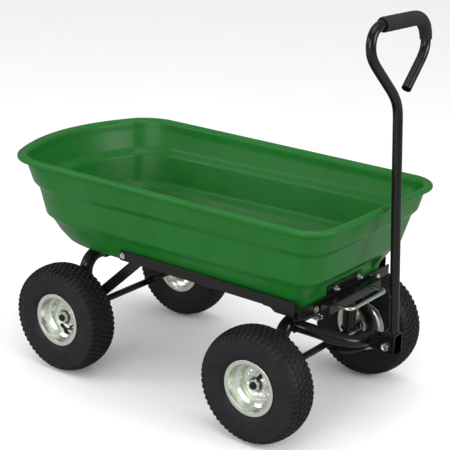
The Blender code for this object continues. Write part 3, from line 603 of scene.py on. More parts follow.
def tub_moulding():
    """Every level outside and inside, with the corners between levels rounded, then the two floors."""
    out, inn = OUTER_LEVELS, INNER_LEVELS
    rows = [(out[0], 0.0, True, 0.0040), (out[1], 0.0, True, 0.008),
            (part_way(out[1], out[2], NICHE_Z - 0.0015), 0.0, True, 0.0009),
            (part_way(out[1], out[2], NICHE_Z), 0.0, False, 0.0009)]
    soft = [0.0045, 0.0045, 0.0045, 0.0045, 0.006, 0.0020, 0.0012, 0.0010, 0.0030, 0.0045, 0.0045]
    rows += [(lv, 0.0, False, r) for lv, r in zip(out[2:], soft)]
    rows += [(lv, WALL, False, r) for lv, r in zip(inn[:6], [0.006] * 2 + [0.0045] * 4)]
    rows += [(part_way(inn[6], inn[5], NICHE_Z + WALL), WALL, False, 0.0012),
             (part_way(inn[6], inn[5], NICHE_Z + WALL - 0.0015), WALL, True, 0.0012),
             (inn[6], WALL, True, 0.010), (inn[7], WALL, True, 0.006)]
    lines = np.stack([wall_line(lv, wall, sunk) for lv, wall, sunk, _ in rows])
    middle_of = np.array([0.03, 0.0, 0.0])

    def shrunk(line, share):
        return line + (middle_of - line) * [1, 1, 0] * share

    flat = [shrunk(lines[-1], share) for share in (0.05, 0.3, 0.6, 0.9, 0.985)]
    under = [shrunk(lines[0], share) for share in (0.985, 0.9, 0.5, 0.05)]
    radii = [0.0] * 4 + [r for *_, r in rows] + [0.0] * 5
    stack = np.concatenate([np.stack(under), lines, np.stack(flat)])
    return net(rounded(stack, np.array(radii) + 1e-6, 4, closed=False))


tub = piece("moulded_tub", [tub_moulding()], GREEN, "tub_body", ["tub"], sharp=60.0)
print("tub faces", len(tub.data.polygons))

# %% [markdown]
# ## Wheels
# The tyre is a turned cross-section; its tread is the same surface lifted where a block stands. 58 blocks
# go round, the middle rows set half a step from their neighbours. The rim is pressed sheet, so its
# dimples show on both faces.

# %% Tyres
BLOCKS = 58
STEP_MARKS = np.array([0.0, 0.05, 0.10, 0.30, 0.50, 0.55, 0.60, 0.80])
BEAD_R, SHOULDER_R, TREAD_HALF = 0.0568, 0.1200, 0.0350
LUG, SIDE_LUG, WALL_POINTS = 0.0030, 0.0021, 44


def block_wave(turn, shift):
    """1 on a block and 0 between blocks, with short ramps; turn counts steps round the tyre."""
    f = (turn + shift) % 1.0
    return np.clip(np.minimum(f / 0.05, (0.60 - f) / 0.05), 0.0, 1.0)


def tyre(centre, side):
    """Cross-section (r, a) turned about the axle; the tread rows move outward by the height of a block.
    Each row holds r, a, height of its block, half step or none, and the direction in which blocks rise."""
    wall_r = np.array([0.0568, 0.0590, 0.0640, 0.0665, 0.0690, 0.0720, 0.0760, 0.0840, 0.0920, 0.1000,
                       0.1060, 0.1110, 0.1150, 0.1180, 0.1200])
    wall_a = np.array([0.0262, 0.0272, 0.0282, 0.0296, 0.0318, 0.0340, 0.0357, 0.0376, 0.0386, 0.0389,
                       0.0387, 0.0381, 0.0374, 0.0366, 0.0358])
    r = np.linspace(BEAD_R, SHOULDER_R, WALL_POINTS)
    a = np.interp(r, wall_r, wall_a)
    for _ in range(3):
        a[1:-1] = 0.25 * a[:-2] + 0.5 * a[1:-1] + 0.25 * a[2:]
    a += 0.0007 * np.exp(-((r - 0.0728) / 0.0010) ** 2) + 0.0004 * np.exp(-((r - 0.1015) / 0.0012) ** 2)
    lift_wall = np.interp(r, [0.1115, 0.1155, SHOULDER_R], [0.0, 1.0, 1.0]) * SIDE_LUG
    marks = [0.0350, 0.0330, 0.0300, 0.0260, 0.0222, 0.0210, 0.0202, 0.0190, 0.0182, 0.0174, 0.0150, 0.0110,
             0.0092, 0.0084, 0.0076, 0.0064, 0.0056, 0.0048, 0.0024, 0.0]
    lifts = [1, 1, 1, 1, 1, 1, 0, 0, 0, 1, 1, 1, 1, 0, 0, 0, 0, 1, 1, 1]
    groups = [0.0] * 9 + [0.5] * 5 + [0.0] * 6
    marks, lifts = np.array(marks), np.array(lifts, float) * LUG
    tread_r = TYRE_R - 0.0032 - 0.0078 * (marks / TREAD_HALF) ** 2.4
    plain = np.ones(WALL_POINTS)
    half = np.concatenate([np.stack([r, a, lift_wall, 0.0 * plain, 0.35 * plain, 0.94 * plain], 1),
                           np.stack([tread_r, marks, lifts, groups, np.cos(marks / TREAD_HALF * 0.5),
                                     np.sin(marks / TREAD_HALF * 0.5)], 1)])
    other = half[-2::-1] * [1, -1, 1, 1, 1, -1]
    inside = np.array([(0.0590, -0.0205), (0.0980, -0.0325), (0.1180, -0.0240), (0.1215, 0.0),
                       (0.1180, 0.0240), (0.0980, 0.0325), (0.0590, 0.0205)])
    inside = np.column_stack([inside, np.zeros((7, 4))])
    rows = np.concatenate([half, other, inside])
    turn = (np.arange(BLOCKS)[:, None] + STEP_MARKS).ravel()
    lifted = rows[:, 2:3] * block_wave(turn[None], rows[:, 3:4])
    profile = list(zip(rows[:, 0:1] + lifted * rows[:, 4:5], rows[:, 1:2] + lifted * rows[:, 5:6]))
    t = 2.0 * np.pi * turn / BLOCKS
    radius = np.stack([p[0] for p in profile])[..., None]
    reach = np.stack([p[1] for p in profile])[..., None] * np.array([0.0, side, 0.0])
    ring = np.stack([np.cos(t), np.zeros_like(t), np.sin(t)], 1)
    return net(centre + reach + radius * ring, around_rows=True)


# %% Rims, bearings and valves
RIM_LINE = [(0.0640, 0.0306), (0.0630, 0.0284), (0.0555, 0.0278), (0.0538, 0.0080), (0.0470, 0.0040),
            (0.0470, -0.0100), (0.0538, -0.0140), (0.0555, -0.0278), (0.0630, -0.0284), (0.0640, -0.0306),
            (0.0628, -0.0314), (0.0540, -0.0304), (0.0512, -0.0158), (0.0445, -0.0122), (0.0330, -0.0178),
            (0.0270, -0.0178), (0.0205, -0.0190), (0.0205, -0.0450), (0.0175, -0.0450), (0.0175, 0.0020),
            (0.0205, 0.0020), (0.0205, -0.0155), (0.0270, -0.0142), (0.0330, -0.0142), (0.0400, -0.0125),
            (0.0445, 0.0020), (0.0512, 0.0062), (0.0540, 0.0304), (0.0628, 0.0314)]


def rim(centre, side):
    """Pressed rim: rounded cross-section turned about the axle, six dimples and six small bosses pressed
    through the disc."""
    line = refined(rounded(refined(RIM_LINE, 0.0035), 0.0011, 3), 0.0016)
    t = angles(216)
    r, a = line[:, :1], line[:, 1:2] + 0.0 * t

    def pressed(count, turn, at, size, depth):
        gap = (t - turn + np.pi / count) % (2.0 * np.pi / count) - np.pi / count
        away = np.hypot(r - at, at * gap)
        ease = np.clip(1.5 - away / size, 0.0, 1.0)
        return depth * ease ** 2 * (3 - 2 * ease)

    disc = (r > 0.0215) & (r < 0.0425) & (line[:, 1:2] < 0.004) & (line[:, 1:2] > -0.021)
    dimples = pressed(6, 0.3, 0.0315, 0.0038, -0.0016) + pressed(6, 0.82, 0.0325, 0.0020, 0.0012)
    a = a + np.where(disc, dimples, 0.0)
    ring = np.stack([np.cos(t), np.zeros_like(t), np.sin(t)], 1)
    return net(centre + a[..., None] * np.array([0.0, side, 0.0]) + r[..., None] * ring, around_rows=True)


def bearing(centre, side, end, face):
    """Ball bearing seen from its face: two ground rings, chamfered, with a seal set back between them."""
    deep, back = end - face * 0.011, end - face * 0.0008
    inner = [(0.0084, deep), (0.0084, end + face * 0.0010), (0.0090, end + face * 0.0016),
             (0.0109, end + face * 0.0016), (0.0113, end + face * 0.0010), (0.0113, deep)]
    outer = [(0.0142, deep), (0.0142, end - face * 0.0004), (0.0146, end), (0.0165, end),
             (0.0168, end - face * 0.0004), (0.0168, deep)]
    seal = [(0.0112, deep + face * 0.002), (0.0112, back), (0.0120, back + face * 0.0003),
            (0.0128, back), (0.0136, back + face * 0.0003), (0.0143, back), (0.0143, deep + face * 0.002)]
    spin = np.array([0.0, side, 0.0])
    rings = [turned(rounded(p, 0.0003, 2), centre, spin, 64, closed=True) for p in (inner, outer)]
    return rings, [turned(seal, centre, spin, 64, closed=True)]


def valve(centre, side, lift):
    """Rubber stem out of the rim well with a ribbed screw cap."""
    inward = unit([-math.cos(lift), side * 0.85, -math.sin(lift)])
    foot = centre + np.array([0.0395 * math.cos(lift), -side * 0.0062, 0.0395 * math.sin(lift)])
    ribs = 0.00022 * np.cos(12 * angles(48))
    stem = [(0.0005, 0.0), (0.0048, 0.0), (0.0052, 0.0010), (0.0046, 0.0034), (0.0040, 0.0080),
            (0.0036, 0.0120), (0.0035, 0.0176), (0.0005, 0.0177)]
    cap = [(0.0005, 0.0168), (0.0038 + ribs, 0.0168), (0.0042 + ribs, 0.0175), (0.0042 + ribs, 0.0262),
           (0.0036 + ribs * 0.4, 0.0277), (0.0022, 0.0281), (0.0004, 0.0281)]
    return [turned(stem, foot, inward), turned(cap, foot, inward)]


VALVE_TURN = {"front_right": 62.0, "rear_right": -98.0, "front_left": 130.0, "rear_left": 20.0}
for end_name, axle_x in (("front", FRONT_X), ("rear", REAR_X)):
    for flank, side in (("left", 1.0), ("right", -1.0)):
        tag, body = end_name + "_" + flank, "wheel_" + end_name + "_" + flank
        centre = np.array([axle_x, side * WHEEL_Y, AXLE_Z])
        piece("knobby_tyre_" + tag, [tyre(centre, side)], TYRE, body, ["tyre_" + tag], sharp=42.0)
        piece("pressed_rim_" + tag, [rim(centre, side)], RIM_ZINC, body, ["rim_" + tag], sharp=50.0)
        for which, end, face in (("outer", 0.0015, 1.0), ("inner", -0.0445, -1.0)):
            rings, seal = bearing(centre, side, end, face)
            piece("ball_bearing_%s_%s" % (which, tag), rings, STEEL, body, ["bearing_%s_%s" % (which, tag)])
            piece("bearing_seal_%s_%s" % (which, tag), seal, SEAL, body)
        piece("valve_stem_" + tag, valve(centre, side, math.radians(VALVE_TURN[tag])), STEM, body,
              ["valve_" + tag])

# %% [markdown]
# ## Fasteners
# Chamfered hexagons and rolled threads; a bolt is one turned profile whose radius follows a hexagon where
# the head and the nut stand.

# %% Bolts and nuts


def screw_set(start, along, head, nut, end, flats=0.0068, shaft=0.004, flat_head=None):
    """Bolt with its nut from the head's outer face: head height, where the nut begins and ends, tip."""
    if flat_head:
        top = [(0.0005, 0.0), (flat_head * 0.55, 0.0), (flat_head * 0.92, head * 0.55),
               (flat_head, head * 0.85), (flat_head, head)]
    else:
        top = [(0.0005, 0.0005), (flats * 0.6, 0.0005), (flats * 0.72, 0.0)] + hexed(0.0, head, flats)
    rows = top + [(shaft, head), (shaft, nut[0])] + hexed(nut[0], nut[1], flats * 0.97)
    rows += threaded(nut[1], end - 0.0006, shaft * 0.97) + [(shaft * 0.72, end), (0.0005, end)]
    return turned(rows, start, along)


def hex_nut(base, along, flats, hole, high):
    """Nut: hexed outside, a threaded hole through it."""
    bore = threaded(0.0002, high - 0.0002, hole + 0.0003)[::-1]
    rows = hexed(0.0, high, flats)
    return turned(rows + bore, base, along, closed=True)


for tag, side in (("left", 1.0), ("right", -1.0)):
    spot = np.array([REAR_X + 0.148, side * (0.185 + GAP + 0.0055), 0.3085])
    piece("rail_screw_" + tag, [screw_set(spot, (0, -side, 0), 0.0055, (0.0094, 0.0134), 0.0144)], ZINC,
          "frame", ["rail_bolt_" + tag])
    spot = np.array([REAR_X + 0.631 + 0.006 + GAP, side * 0.125, 0.2905])
    piece("cross_screw_" + tag, [screw_set(spot, (-1, 0, 0), 0.0060, (0.0096, 0.0123), 0.0127)], ZINC,
          "frame", ["cross_bolt_" + tag])
    spot = np.array([NICHE_X - WALL - GAP - 0.0048, side * 0.0465, 0.3135])
    nut_at = 0.0048 + WALL + GAP + 0.0008 + 0.0025 + GAP
    screw = screw_set(spot, (1, 0, 0), 0.0048, (nut_at, nut_at + 0.0065), nut_at + 0.0140, 0.0066, 0.0040,
                      0.0095)
    piece("striker_screw_" + tag, [screw], ZINC, "tub_body", ["striker_bolt_" + tag])
    for end_name, axle_x, body in (("front", FRONT_X, "steering"), ("rear", REAR_X, "frame")):
        spot = np.array([axle_x, side * (WHEEL_Y + 0.0038), AXLE_Z])
        nut = hex_nut(spot, (0, side, 0), 0.012, 0.0083, 0.009)
        piece("axle_nut_%s_%s_hex" % (end_name, tag), [nut], ZINC, body,
              ["axle_nut_%s_%s" % (end_name, tag)])

# %% [markdown]
# ## Undercarriage
# Bent tube, flat bar and angle steel, welded and bolted, all under one gloss black powder coat.

# %% Axles, hoop, bow and braces
TUBE_R, TUBE_WALL, BEND = 0.016, 0.0022, 0.042
AXLE_R = 0.008
HOOP_HALF = far("rear_hoop", 1) - TUBE_R
BOW_HALF = far("front_bow", 1) - TUBE_R
HOOP_Z, BOW_Z = far("rear_hoop", 2) - TUBE_R, far("front_bow", 2) - TUBE_R
FOOT_Z = AXLE_Z + AXLE_R + GAP


def axle_rod(x):
    """Round bar with chamfered, centre-drilled ends."""
    reach = WHEEL_Y + 0.017
    end = [(0.0004, 0.0016), (0.0018, 0.0), (0.0062, 0.0), (0.0074, 0.0006), (AXLE_R, 0.0018)]
    line = end + [(AXLE_R, reach * 0.5)] + [(r, 2 * reach - a) for r, a in reversed(end)]
    return turned(line, (x, -reach, AXLE_Z), (0, 1, 0))


def bent_arch(x, half, top):
    """Tube up from the axle, over and down again, with bends of one radius."""
    corners = np.array([(x, -half, FOOT_Z), (x, -half, top), (x, half, top), (x, half, FOOT_Z)])
    turn = np.linspace(0.0, np.pi / 2, 24)[:, None]
    bend = BEND * np.concatenate([0 * turn, -np.cos(turn), np.sin(turn)], 1)
    left = np.array([x, -half + BEND, top - BEND]) + bend
    right = left[::-1] * [1, -1, 1]
    path = np.concatenate([corners[:1], left, right, corners[3:]])
    return tube(evenly(path, 0.004), TUBE_R, (1, 0, 0), 32, TUBE_WALL)


for name, x, half, top, body, node in (("rear", REAR_X, HOOP_HALF, HOOP_Z, "frame", "rear_hoop"),
                                       ("front", FRONT_X, BOW_HALF, BOW_Z, "steering", "front_bow")):
    piece("axle_rod_" + name, [axle_rod(x)], BLACK, body, [name + "_axle"])
    beads = [weld_bead((x, s * half, FOOT_Z + 0.0012), (0, 0, 1), TUBE_R + 0.0006) for s in (1, -1)]
    piece("bent_tube_" + name, [bent_arch(x, half, top)], BLACK, body, [node])
    piece("tube_welds_" + name, beads, BLACK, body)

RAIL_Y, RAIL_T, RAIL_LOW, RAIL_HIGH = 0.185, 0.003, 0.295, 0.319
BRACE_HALF = 0.012


def brace(side):
    """Flat bar from the rear axle up to the rail, round at its foot and cut level at the top."""
    start, top = np.array([REAR_X, AXLE_Z]), np.array([REAR_X + 0.178, RAIL_LOW - GAP])
    along = unit(top - start)
    across = np.array([-along[1], along[0]])
    turn = (np.pi / 2 + np.pi * np.arange(25) / 24)[:, None]
    line = [start + BRACE_HALF * (along * np.cos(turn) + across * np.sin(turn))]
    for edge in (-BRACE_HALF, BRACE_HALF):
        spot = start + across * edge
        line.append((spot + along * ((top[1] - spot[1]) / along[1]))[None])
    inner = HOOP_HALF + TUBE_R + 2 * GAP
    return drawn(np.concatenate(line), "Y", side * inner, side * (inner + 0.006))


def rail(side):
    """Angle steel: an upright leg with its front gusset, and a level leg turned in under the tub."""
    front, back, low = REAR_X + 0.620, REAR_X + 0.135, 0.2850
    face = [(back, RAIL_LOW), (REAR_X + 0.555, RAIL_LOW), (REAR_X + 0.570, low), (front, low),
            (front, RAIL_HIGH), (back, RAIL_HIGH)]
    upright = drawn(rounded(face, [0.0006, 0.004, 0.004, 0.003, 0.003, 0.003], 5), "Y",
                    side * RAIL_Y, side * (RAIL_Y - RAIL_T))
    leg = [(0.019, 0.0), (RAIL_T / 2, 0.0), (RAIL_T / 2, RAIL_T + 0.002), (RAIL_T + 0.0002, RAIL_T + 0.002),
           (RAIL_T + 0.002, RAIL_T), (0.019, RAIL_T)]
    leg = [(side * (RAIL_Y - inward), RAIL_LOW + height) for inward, height in leg]
    return [upright, drawn(leg, "X", back + 0.0004, REAR_X + 0.588)]


for tag, side in (("left", 1.0), ("right", -1.0)):
    piece("flat_brace_" + tag, [brace(side)], BLACK, "frame", ["rear_brace_" + tag], 0.0009)
    piece("angle_rail_" + tag, rail(side), BLACK, "frame", ["side_rail_" + tag], 0.0007)

# %% Cross member, latch housing, saddle and turntable
CROSS_X, CROSS_LOW, CROSS_HIGH = REAR_X + 0.631, 0.2785, 0.3040
LATCH_Y, LATCH_Z, LATCH_R = 0.0720, 0.2868, 0.0045
CROSS_HALF = RAIL_Y - RAIL_T - GAP
angle_line = [(CROSS_X - 0.018, CROSS_LOW), (CROSS_X, CROSS_LOW), (CROSS_X, CROSS_HIGH),
              (CROSS_X - RAIL_T, CROSS_HIGH), (CROSS_X - RAIL_T, CROSS_LOW + RAIL_T),
              (CROSS_X - 0.018, CROSS_LOW + RAIL_T)]
piece("cross_angle", [drawn(rounded(angle_line, [0.0008, 0.003, 0.0008, 0.0008, 0.002, 0.0008], 4), "Y",
                            -CROSS_HALF, CROSS_HALF)], BLACK, "frame", ["front_cross_member"], 0.0004)
BOX_BACK, BOX_FRONT, BOX_TOP, SHEET = CROSS_X + GAP, CROSS_X + GAP + 0.0247, 0.2975, 0.0028
box_line = [(BOX_BACK, 0.2800), (BOX_BACK + SHEET, 0.2800), (BOX_BACK + SHEET, BOX_TOP - SHEET),
            (BOX_FRONT - SHEET, BOX_TOP - SHEET), (BOX_FRONT - SHEET, 0.2750), (BOX_FRONT, 0.2750),
            (BOX_FRONT, BOX_TOP), (BOX_BACK, BOX_TOP)]
box_line = rounded(box_line, [0.0006, 0.0006, 0.0012, 0.0012, 0.0006, 0.0006, 0.004, 0.004], 5)
piece("folded_latch_box", [drawn(box_line, "Y", -0.105, 0.105)], BLACK, "frame", ["latch_housing"], 0.0004)
strap_top = [(0.1812, 0.2947), (0.1655, 0.2947), (0.1560, 0.2822), (0.0760, 0.2822), (0.0640, 0.2655)]
strap_under = [(0.1812, 0.2907), (0.1675, 0.2907), (0.1580, 0.2782), (0.0785, 0.2782), (0.0665, 0.2615)]
strap = (strap_top + [(-y, h) for y, h in reversed(strap_top)]
         + [(-y, h) for y, h in strap_under] + strap_under[::-1])
piece("saddle_strap", [drawn(rounded(strap, 0.003, 4), "X", FRONT_X - 0.022, FRONT_X + 0.022)], BLACK,
      "frame", ["front_saddle"], 0.0006)


def plate_disc(top, thick):
    """Round turntable plate with rounded edges and a hole for the kingpin."""
    line = rounded([(0.0084, top - thick), (0.0550, top - thick), (0.0550, top), (0.0084, top)], 0.0008, 3)
    return turned(line, (FRONT_X, 0, 0), (0, 0, 1), 96, closed=True)


PLATE_T, PIN_R = 0.004, 0.0080
PLATE_TOP = 0.2655 - PLATE_T - GAP
piece("turntable_plate_upper", [plate_disc(PLATE_TOP, PLATE_T)], BLACK, "frame", ["turntable_upper"])
piece("turntable_plate_lower", [plate_disc(PLATE_TOP - PLATE_T - 0.0005, PLATE_T)], BLACK, "steering",
      ["turntable_lower"])
pin = [(0.0005, 0.0), (0.0070, 0.0)] + threaded(0.0008, 0.022, PIN_R) + [(PIN_R, 0.0225), (PIN_R, 0.0603)]
pin += hexed(0.0603, 0.0703, 0.0130) + [(0.008, 0.0700), (0.0005, 0.0700)]
piece("kingpin_bolt", [turned(pin, (FRONT_X, 0, 0.2055), (0, 0, 1))], ZINC, "frame", ["kingpin"])
piece("kingpin_hex_nut", [hex_nut((FRONT_X, 0, 0.2095), (0, 0, 1), 0.0130, 0.0083, 0.0105)], ZINC, "frame",
      ["kingpin_nut"])

# %% Latch: striker, bent rod and springs
STRIKER_BACK = NICHE_X + 0.0008
striker_line = rounded([(-0.0695, 0.2830), (0.0695, 0.2830), (0.0695, 0.3225), (-0.0695, 0.3225)], 0.004, 6)
piece("striker_plate", [drawn(striker_line, "X", STRIKER_BACK, STRIKER_BACK + 0.0025)], BLACK, "tub_body",
      ["latch_striker"], 0.0005)
tip, nose, bend = CROSS_X - 0.0027, REAR_X + 0.6880, 0.013
turn = np.linspace(0.0, np.pi / 2, 20)[:, None]
arc = np.array([nose - bend, -LATCH_Y + bend, LATCH_Z]) + bend * np.concatenate(
    [np.sin(turn), -np.cos(turn), 0 * turn], 1)
half = np.concatenate([[(tip, -LATCH_Y, LATCH_Z)], arc])
path = evenly(np.concatenate([half, half[::-1] * [1, -1, 1]]), 0.002)
radius = np.full(len(path), LATCH_R)
radius[[0, -1]] = LATCH_R * 0.7
piece("latch_rod", [tube(path, radius, (0, 0, 1), 24)], ZINC, "latch", ["latch_handle"])
for tag, side in (("left", 1.0), ("right", -1.0)):
    t = 2.0 * np.pi * np.linspace(0.0, 4.0, 129)
    coil = np.stack([BOX_BACK + SHEET + 0.0012 + 0.0120 * t / t[-1], side * LATCH_Y + 0.0066 * np.cos(t),
                     LATCH_Z + 0.0066 * np.sin(t)], 1)
    piece("latch_coil_" + tag, [tube(coil, 0.0008, (1, 0, 0), 10)], ZINC, "frame", ["latch_spring_" + tag])

# %% Dump hinge saddles
SADDLE_IN, SADDLE_OUT, FOOT_HALF, FOOT_T = 0.0168, 0.0205, 0.036, 0.003
roof = TUB_FLOOR - GAP
saddle_ring = [(SADDLE_IN, 0.0), (SADDLE_OUT, 0.0), (SADDLE_OUT, 0.030), (SADDLE_IN, 0.030)]
saddle_ring = rounded(saddle_ring, 0.0006, 2)
foot_line = [(REAR_X + FOOT_HALF, roof), (REAR_X - FOOT_HALF, roof), (REAR_X - FOOT_HALF, roof - FOOT_T),
             (REAR_X + FOOT_HALF, roof - FOOT_T)]
for tag, side in (("left", 1.0), ("right", -1.0)):
    low, high = side * 0.060, side * 0.090
    shell = turned(saddle_ring, (REAR_X, min(low, high), HOOP_Z), (0, 1, 0), 64, closed=True)
    piece("hinge_saddle_" + tag, [shell, drawn(foot_line, "Y", low, high)], BLACK, "tub_body",
          ["tub_hinge_" + tag], 0.0005)

# %% [markdown]
# ## Tongue and handle
# A thick bent tube loops down from the bow to a bracket; the pull handle folds on one bolt there and
# is bent at the top into an open loop, half of it under foam.

# %% Tongue
LOOP_R, LOW_Z = 0.014, 0.1950
ROOT_X, APEX_X = FRONT_X + TUBE_R + 2 * GAP, REAR_X + 0.688
PIVOT = np.array([REAR_X + 0.747, 0.0, 0.2005])
root = np.array([ROOT_X, -0.110, 0.2325])
leg = curve(root + [0.005, 0, 0], (ROOT_X + 0.021, -0.110, 0.2325), (ROOT_X + 0.042, -0.095, 0.2255),
            (ROOT_X + 0.062, -0.082, 0.2165))
nose_line = curve(leg[-1], (ROOT_X + 0.088, -0.065, 0.2050), (APEX_X, -0.038, LOW_Z), (APEX_X, 0.0, LOW_Z))
half = np.concatenate([root[None], leg, nose_line[1:]])
path = evenly(np.concatenate([half, half[-2::-1] * [1, -1, 1]]), 0.003)
piece("tongue_tube", [tube(path, LOOP_R, (0, 0, 1), 32, TUBE_WALL)], BLACK, "steering", ["tongue_loop"])
piece("tongue_welds", [weld_bead(root * [1, s, 1] + [0.0012, 0, 0], (1, 0, 0), LOOP_R + 0.0004)
                       for s in (1, -1)], BLACK, "steering")
t = np.linspace(-np.pi / 2, np.pi / 2, 33)
plate_line = np.concatenate([[(REAR_X + 0.634, -0.066)],
                             np.stack([REAR_X + 0.650 + 0.044 * np.cos(t), 0.066 * np.sin(t)], 1),
                             [(REAR_X + 0.634, 0.066)]])
floor_top = LOW_Z - LOOP_R - 2 * GAP
piece("tongue_floor", [drawn(plate_line, "Z", floor_top - 0.005, floor_top)], BLACK, "steering",
      ["tongue_plate"], 0.0008)
channel = [(-0.013, 0.2165), (-0.013, 0.1840), (0.013, 0.1840), (0.013, 0.2165), (0.009, 0.2165),
           (0.009, 0.1880), (-0.009, 0.1880), (-0.009, 0.2165)]
channel = rounded(channel, [0.0012, 0.004, 0.004, 0.0012, 0.0012, 0.0008, 0.0008, 0.0012], 5)
piece("tongue_channel", [drawn(channel, "X", APEX_X + LOOP_R + 2 * GAP, PIVOT[0] + 0.011)], BLACK, "steering",
      ["tongue_bracket"], 0.0005)

# %% Handle
FORK_IN, FORK_T, FORK_LOW, FORK_TOP = 0.0138, 0.0035, 0.1850, 0.2300
FORK_OUT = FORK_IN + FORK_T
fork_line = [(-FORK_OUT, FORK_LOW), (-FORK_IN, FORK_LOW), (-FORK_IN, FORK_TOP - FORK_T),
             (FORK_IN, FORK_TOP - FORK_T), (FORK_IN, FORK_LOW), (FORK_OUT, FORK_LOW), (FORK_OUT, FORK_TOP),
             (-FORK_OUT, FORK_TOP)]
fork_line = rounded(fork_line, [0.0008, 0.0008, 0.0015, 0.0015, 0.0008, 0.0008, 0.005, 0.005], 5)
piece("handle_yoke", [drawn(fork_line, "X", PIVOT[0] - 0.013, PIVOT[0] + 0.0205)], BLACK, "handle",
      ["handle_fork"], 0.0006)
HANDLE_FOOT, LEAN, HANDLE_R, GRIP_R = (REAR_X + 0.7555, 0.2311), math.radians(3.4), 0.0105, 0.0158


def leaning(points):
    """Points (y, z) stood up in the plane in which the handle leans back."""
    points = np.asarray(points, float)
    x = HANDLE_FOOT[0] - (points[:, 1] - HANDLE_FOOT[1]) * math.tan(LEAN)
    return np.stack([x, points[:, 0], points[:, 1]], 1)


shaft = np.array([(0.0, HANDLE_FOOT[1]), (0.0, 0.698)])
neck = curve((0.0, 0.698), (0.0, 0.728), (-0.012, 0.742), (-0.030, 0.7605))
side_a = curve((-0.080, 0.8085), (-0.098, 0.826), (-0.1085, 0.838), (-0.1085, 0.857))
top_a = curve((-0.1085, 0.857), (-0.1085, 0.880), (-0.092, 0.896), (-0.066, 0.896))
top_b = curve((0.058, 0.8935), (0.088, 0.893), (0.1095, 0.877), (0.1095, 0.843))
side_b = curve((0.1095, 0.843), (0.1095, 0.827), (0.102, 0.8165), (0.090, 0.805))
flat_path = np.concatenate([shaft, neck[1:], side_a, top_a[1:], top_b, side_b[1:], [(0.0321, 0.753)]])
square = (math.cos(LEAN), 0.0, math.sin(LEAN))
piece("handle_shaft", [tube(evenly(leaning(flat_path), 0.003), HANDLE_R, square, 32, 0.0015)], BLACK,
      "handle", ["handle_tube"])
piece("handle_weld", [weld_bead((HANDLE_FOOT[0], 0, 0.2306), (0, 0, 1), HANDLE_R + 0.0004, 0.0022)], BLACK,
      "handle")
cover = evenly(leaning(np.concatenate([top_a[-1:], top_b])), 0.002)
# the sleeve thins over its last 45 hundredths, is rounded at both ends and slightly lumpy from use
share = np.linspace(0.0, 1.0, len(cover))
thin = HANDLE_R + 0.0022
radius = GRIP_R + (thin - GRIP_R) * np.clip((share - 0.55) / 0.45, 0.0, 1.0) ** 1.3
from_end = np.minimum(np.arange(len(cover)), np.arange(len(cover))[::-1])
radius = radius - 0.0022 * np.clip(1.0 - from_end / 2.0, 0.0, 1.0) ** 2
radius = radius + 0.00018 * np.sin(share * 62.0) * np.sin(share * 17.0)
grip = piece("foam_sleeve", [tube(cover, radius, square, 40, 0.0016)], FOAM, "handle", ["handle_grip"])
bolt_start = (PIVOT[0], -(FORK_OUT + GAP + 0.0065), PIVOT[2])
rows = [(0.0005, 0.0006), (0.0052, 0.0006), (0.0060, 0.0)] + hexed(0.0, 0.0065, 0.0085)
rows += [(0.0050, 0.0065), (0.0050, 0.036)] + threaded(0.0365, 0.0494, 0.0050)
rows += [(0.0036, 0.0500), (0.0005, 0.0500)]
piece("pivot_screw", [turned(rows, bolt_start, (0, 1, 0))], ZINC, "handle", ["pivot_bolt"])
nut = hex_nut((PIVOT[0], FORK_OUT + GAP, PIVOT[2]), (0, 1, 0), 0.0083, 0.0053, 0.0080)
piece("pivot_hex_nut", [nut], ZINC, "handle", ["pivot_nut"])

# %% [markdown]
# ## Stage
# A pale floor, a bright surrounding and large soft lights: the gloss coat and the zinc need something
# broad and pale to mirror.

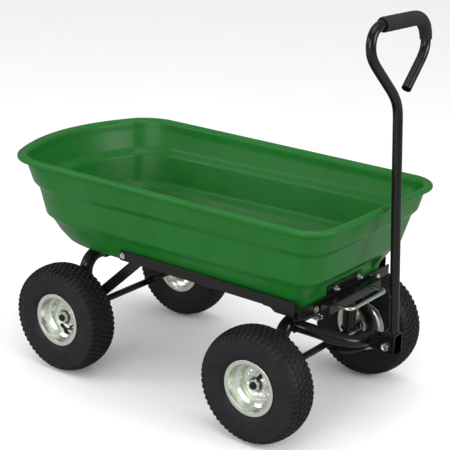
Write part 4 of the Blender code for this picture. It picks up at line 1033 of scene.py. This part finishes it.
# %% Floor, light and camera
scene = bpy.context.scene
scene.view_settings.view_transform = "Standard"
bpy.ops.mesh.primitive_plane_add(size=40.0, location=(0, 0, 0))
floor = bpy.context.object
floor.name = "pale_floor"
mat, tree, shader, here = begin("pale_floor_paint", Roughness=0.7, Specular_IOR_Level=0.2)
paint = mix_colour(tree, ramp(tree, noise(tree, here, 3.0, 2.0), 0.3, 0.7), (0.97,) * 3, (0.99,) * 3)
# the floor looks pale but throws back less light than it shows, as a dark room round a lit table would
seen = add(tree, "LightPath").outputs["Is Camera Ray"]
tree.links.new(mix_colour(tree, seen, (0.42,) * 3, paint), shader.inputs["Base Color"])
floor.data.materials.append(mat)

world = bpy.data.worlds.new("pale_room")
scene.world = world
world.use_nodes = True
sky = world.node_tree.nodes["Background"]
sky.inputs["Color"].default_value = (1.0, 1.0, 1.0, 1.0)
# bright for everything but mirrored rays, so that gloss shows the lamps and not a grey haze
mirrored = add(world.node_tree, "LightPath").outputs["Is Glossy Ray"]
world.node_tree.links.new(ramp(world.node_tree, mirrored, 0.0, 1.0, 0.90, 0.28), sky.inputs["Strength"])


def soft_light(name, spot, aim, size, power):
    """Large square light."""
    lamp = bpy.data.lights.new(name, "AREA")
    lamp.size, lamp.energy = size, power
    holder = bpy.data.objects.new(name, lamp)
    holder.location = spot
    holder.rotation_euler = (Vector(aim) - Vector(spot)).to_track_quat("-Z", "Y").to_euler()
    scene.collection.objects.link(holder)


soft_light("overhead", (0.3, -0.4, 3.2), (0.0, 0.0, 0.3), 2.2, 26.0)
soft_light("left_window", (-2.4, -2.6, 1.9), (0.0, 0.0, 0.3), 1.2, 20.0)
soft_light("front_window", (3.0, 0.6, 1.5), (0.1, 0.0, 0.4), 1.2, 34.0)
soft_light("near_wall", (0.6, -3.6, 1.3), (0.0, 0.0, 0.3), 2.0, 58.0)

ahead = Vector((-0.5665, 0.7567, -0.3262)).normalized()
over = Vector((-0.2173, 0.2447, 0.9449))
right = ahead.cross(over).normalized()
over = right.cross(ahead)
lens = bpy.data.cameras.new("camera")
lens.sensor_width, lens.lens = 36.0, 103.6048
camera = bpy.data.objects.new("camera", lens)
camera.matrix_world = Matrix.Translation((1.7164, -2.2642, 1.3442)) @ Matrix(
    (right, over, -ahead)).transposed().to_4x4()
scene.collection.objects.link(camera)
scene.camera = camera
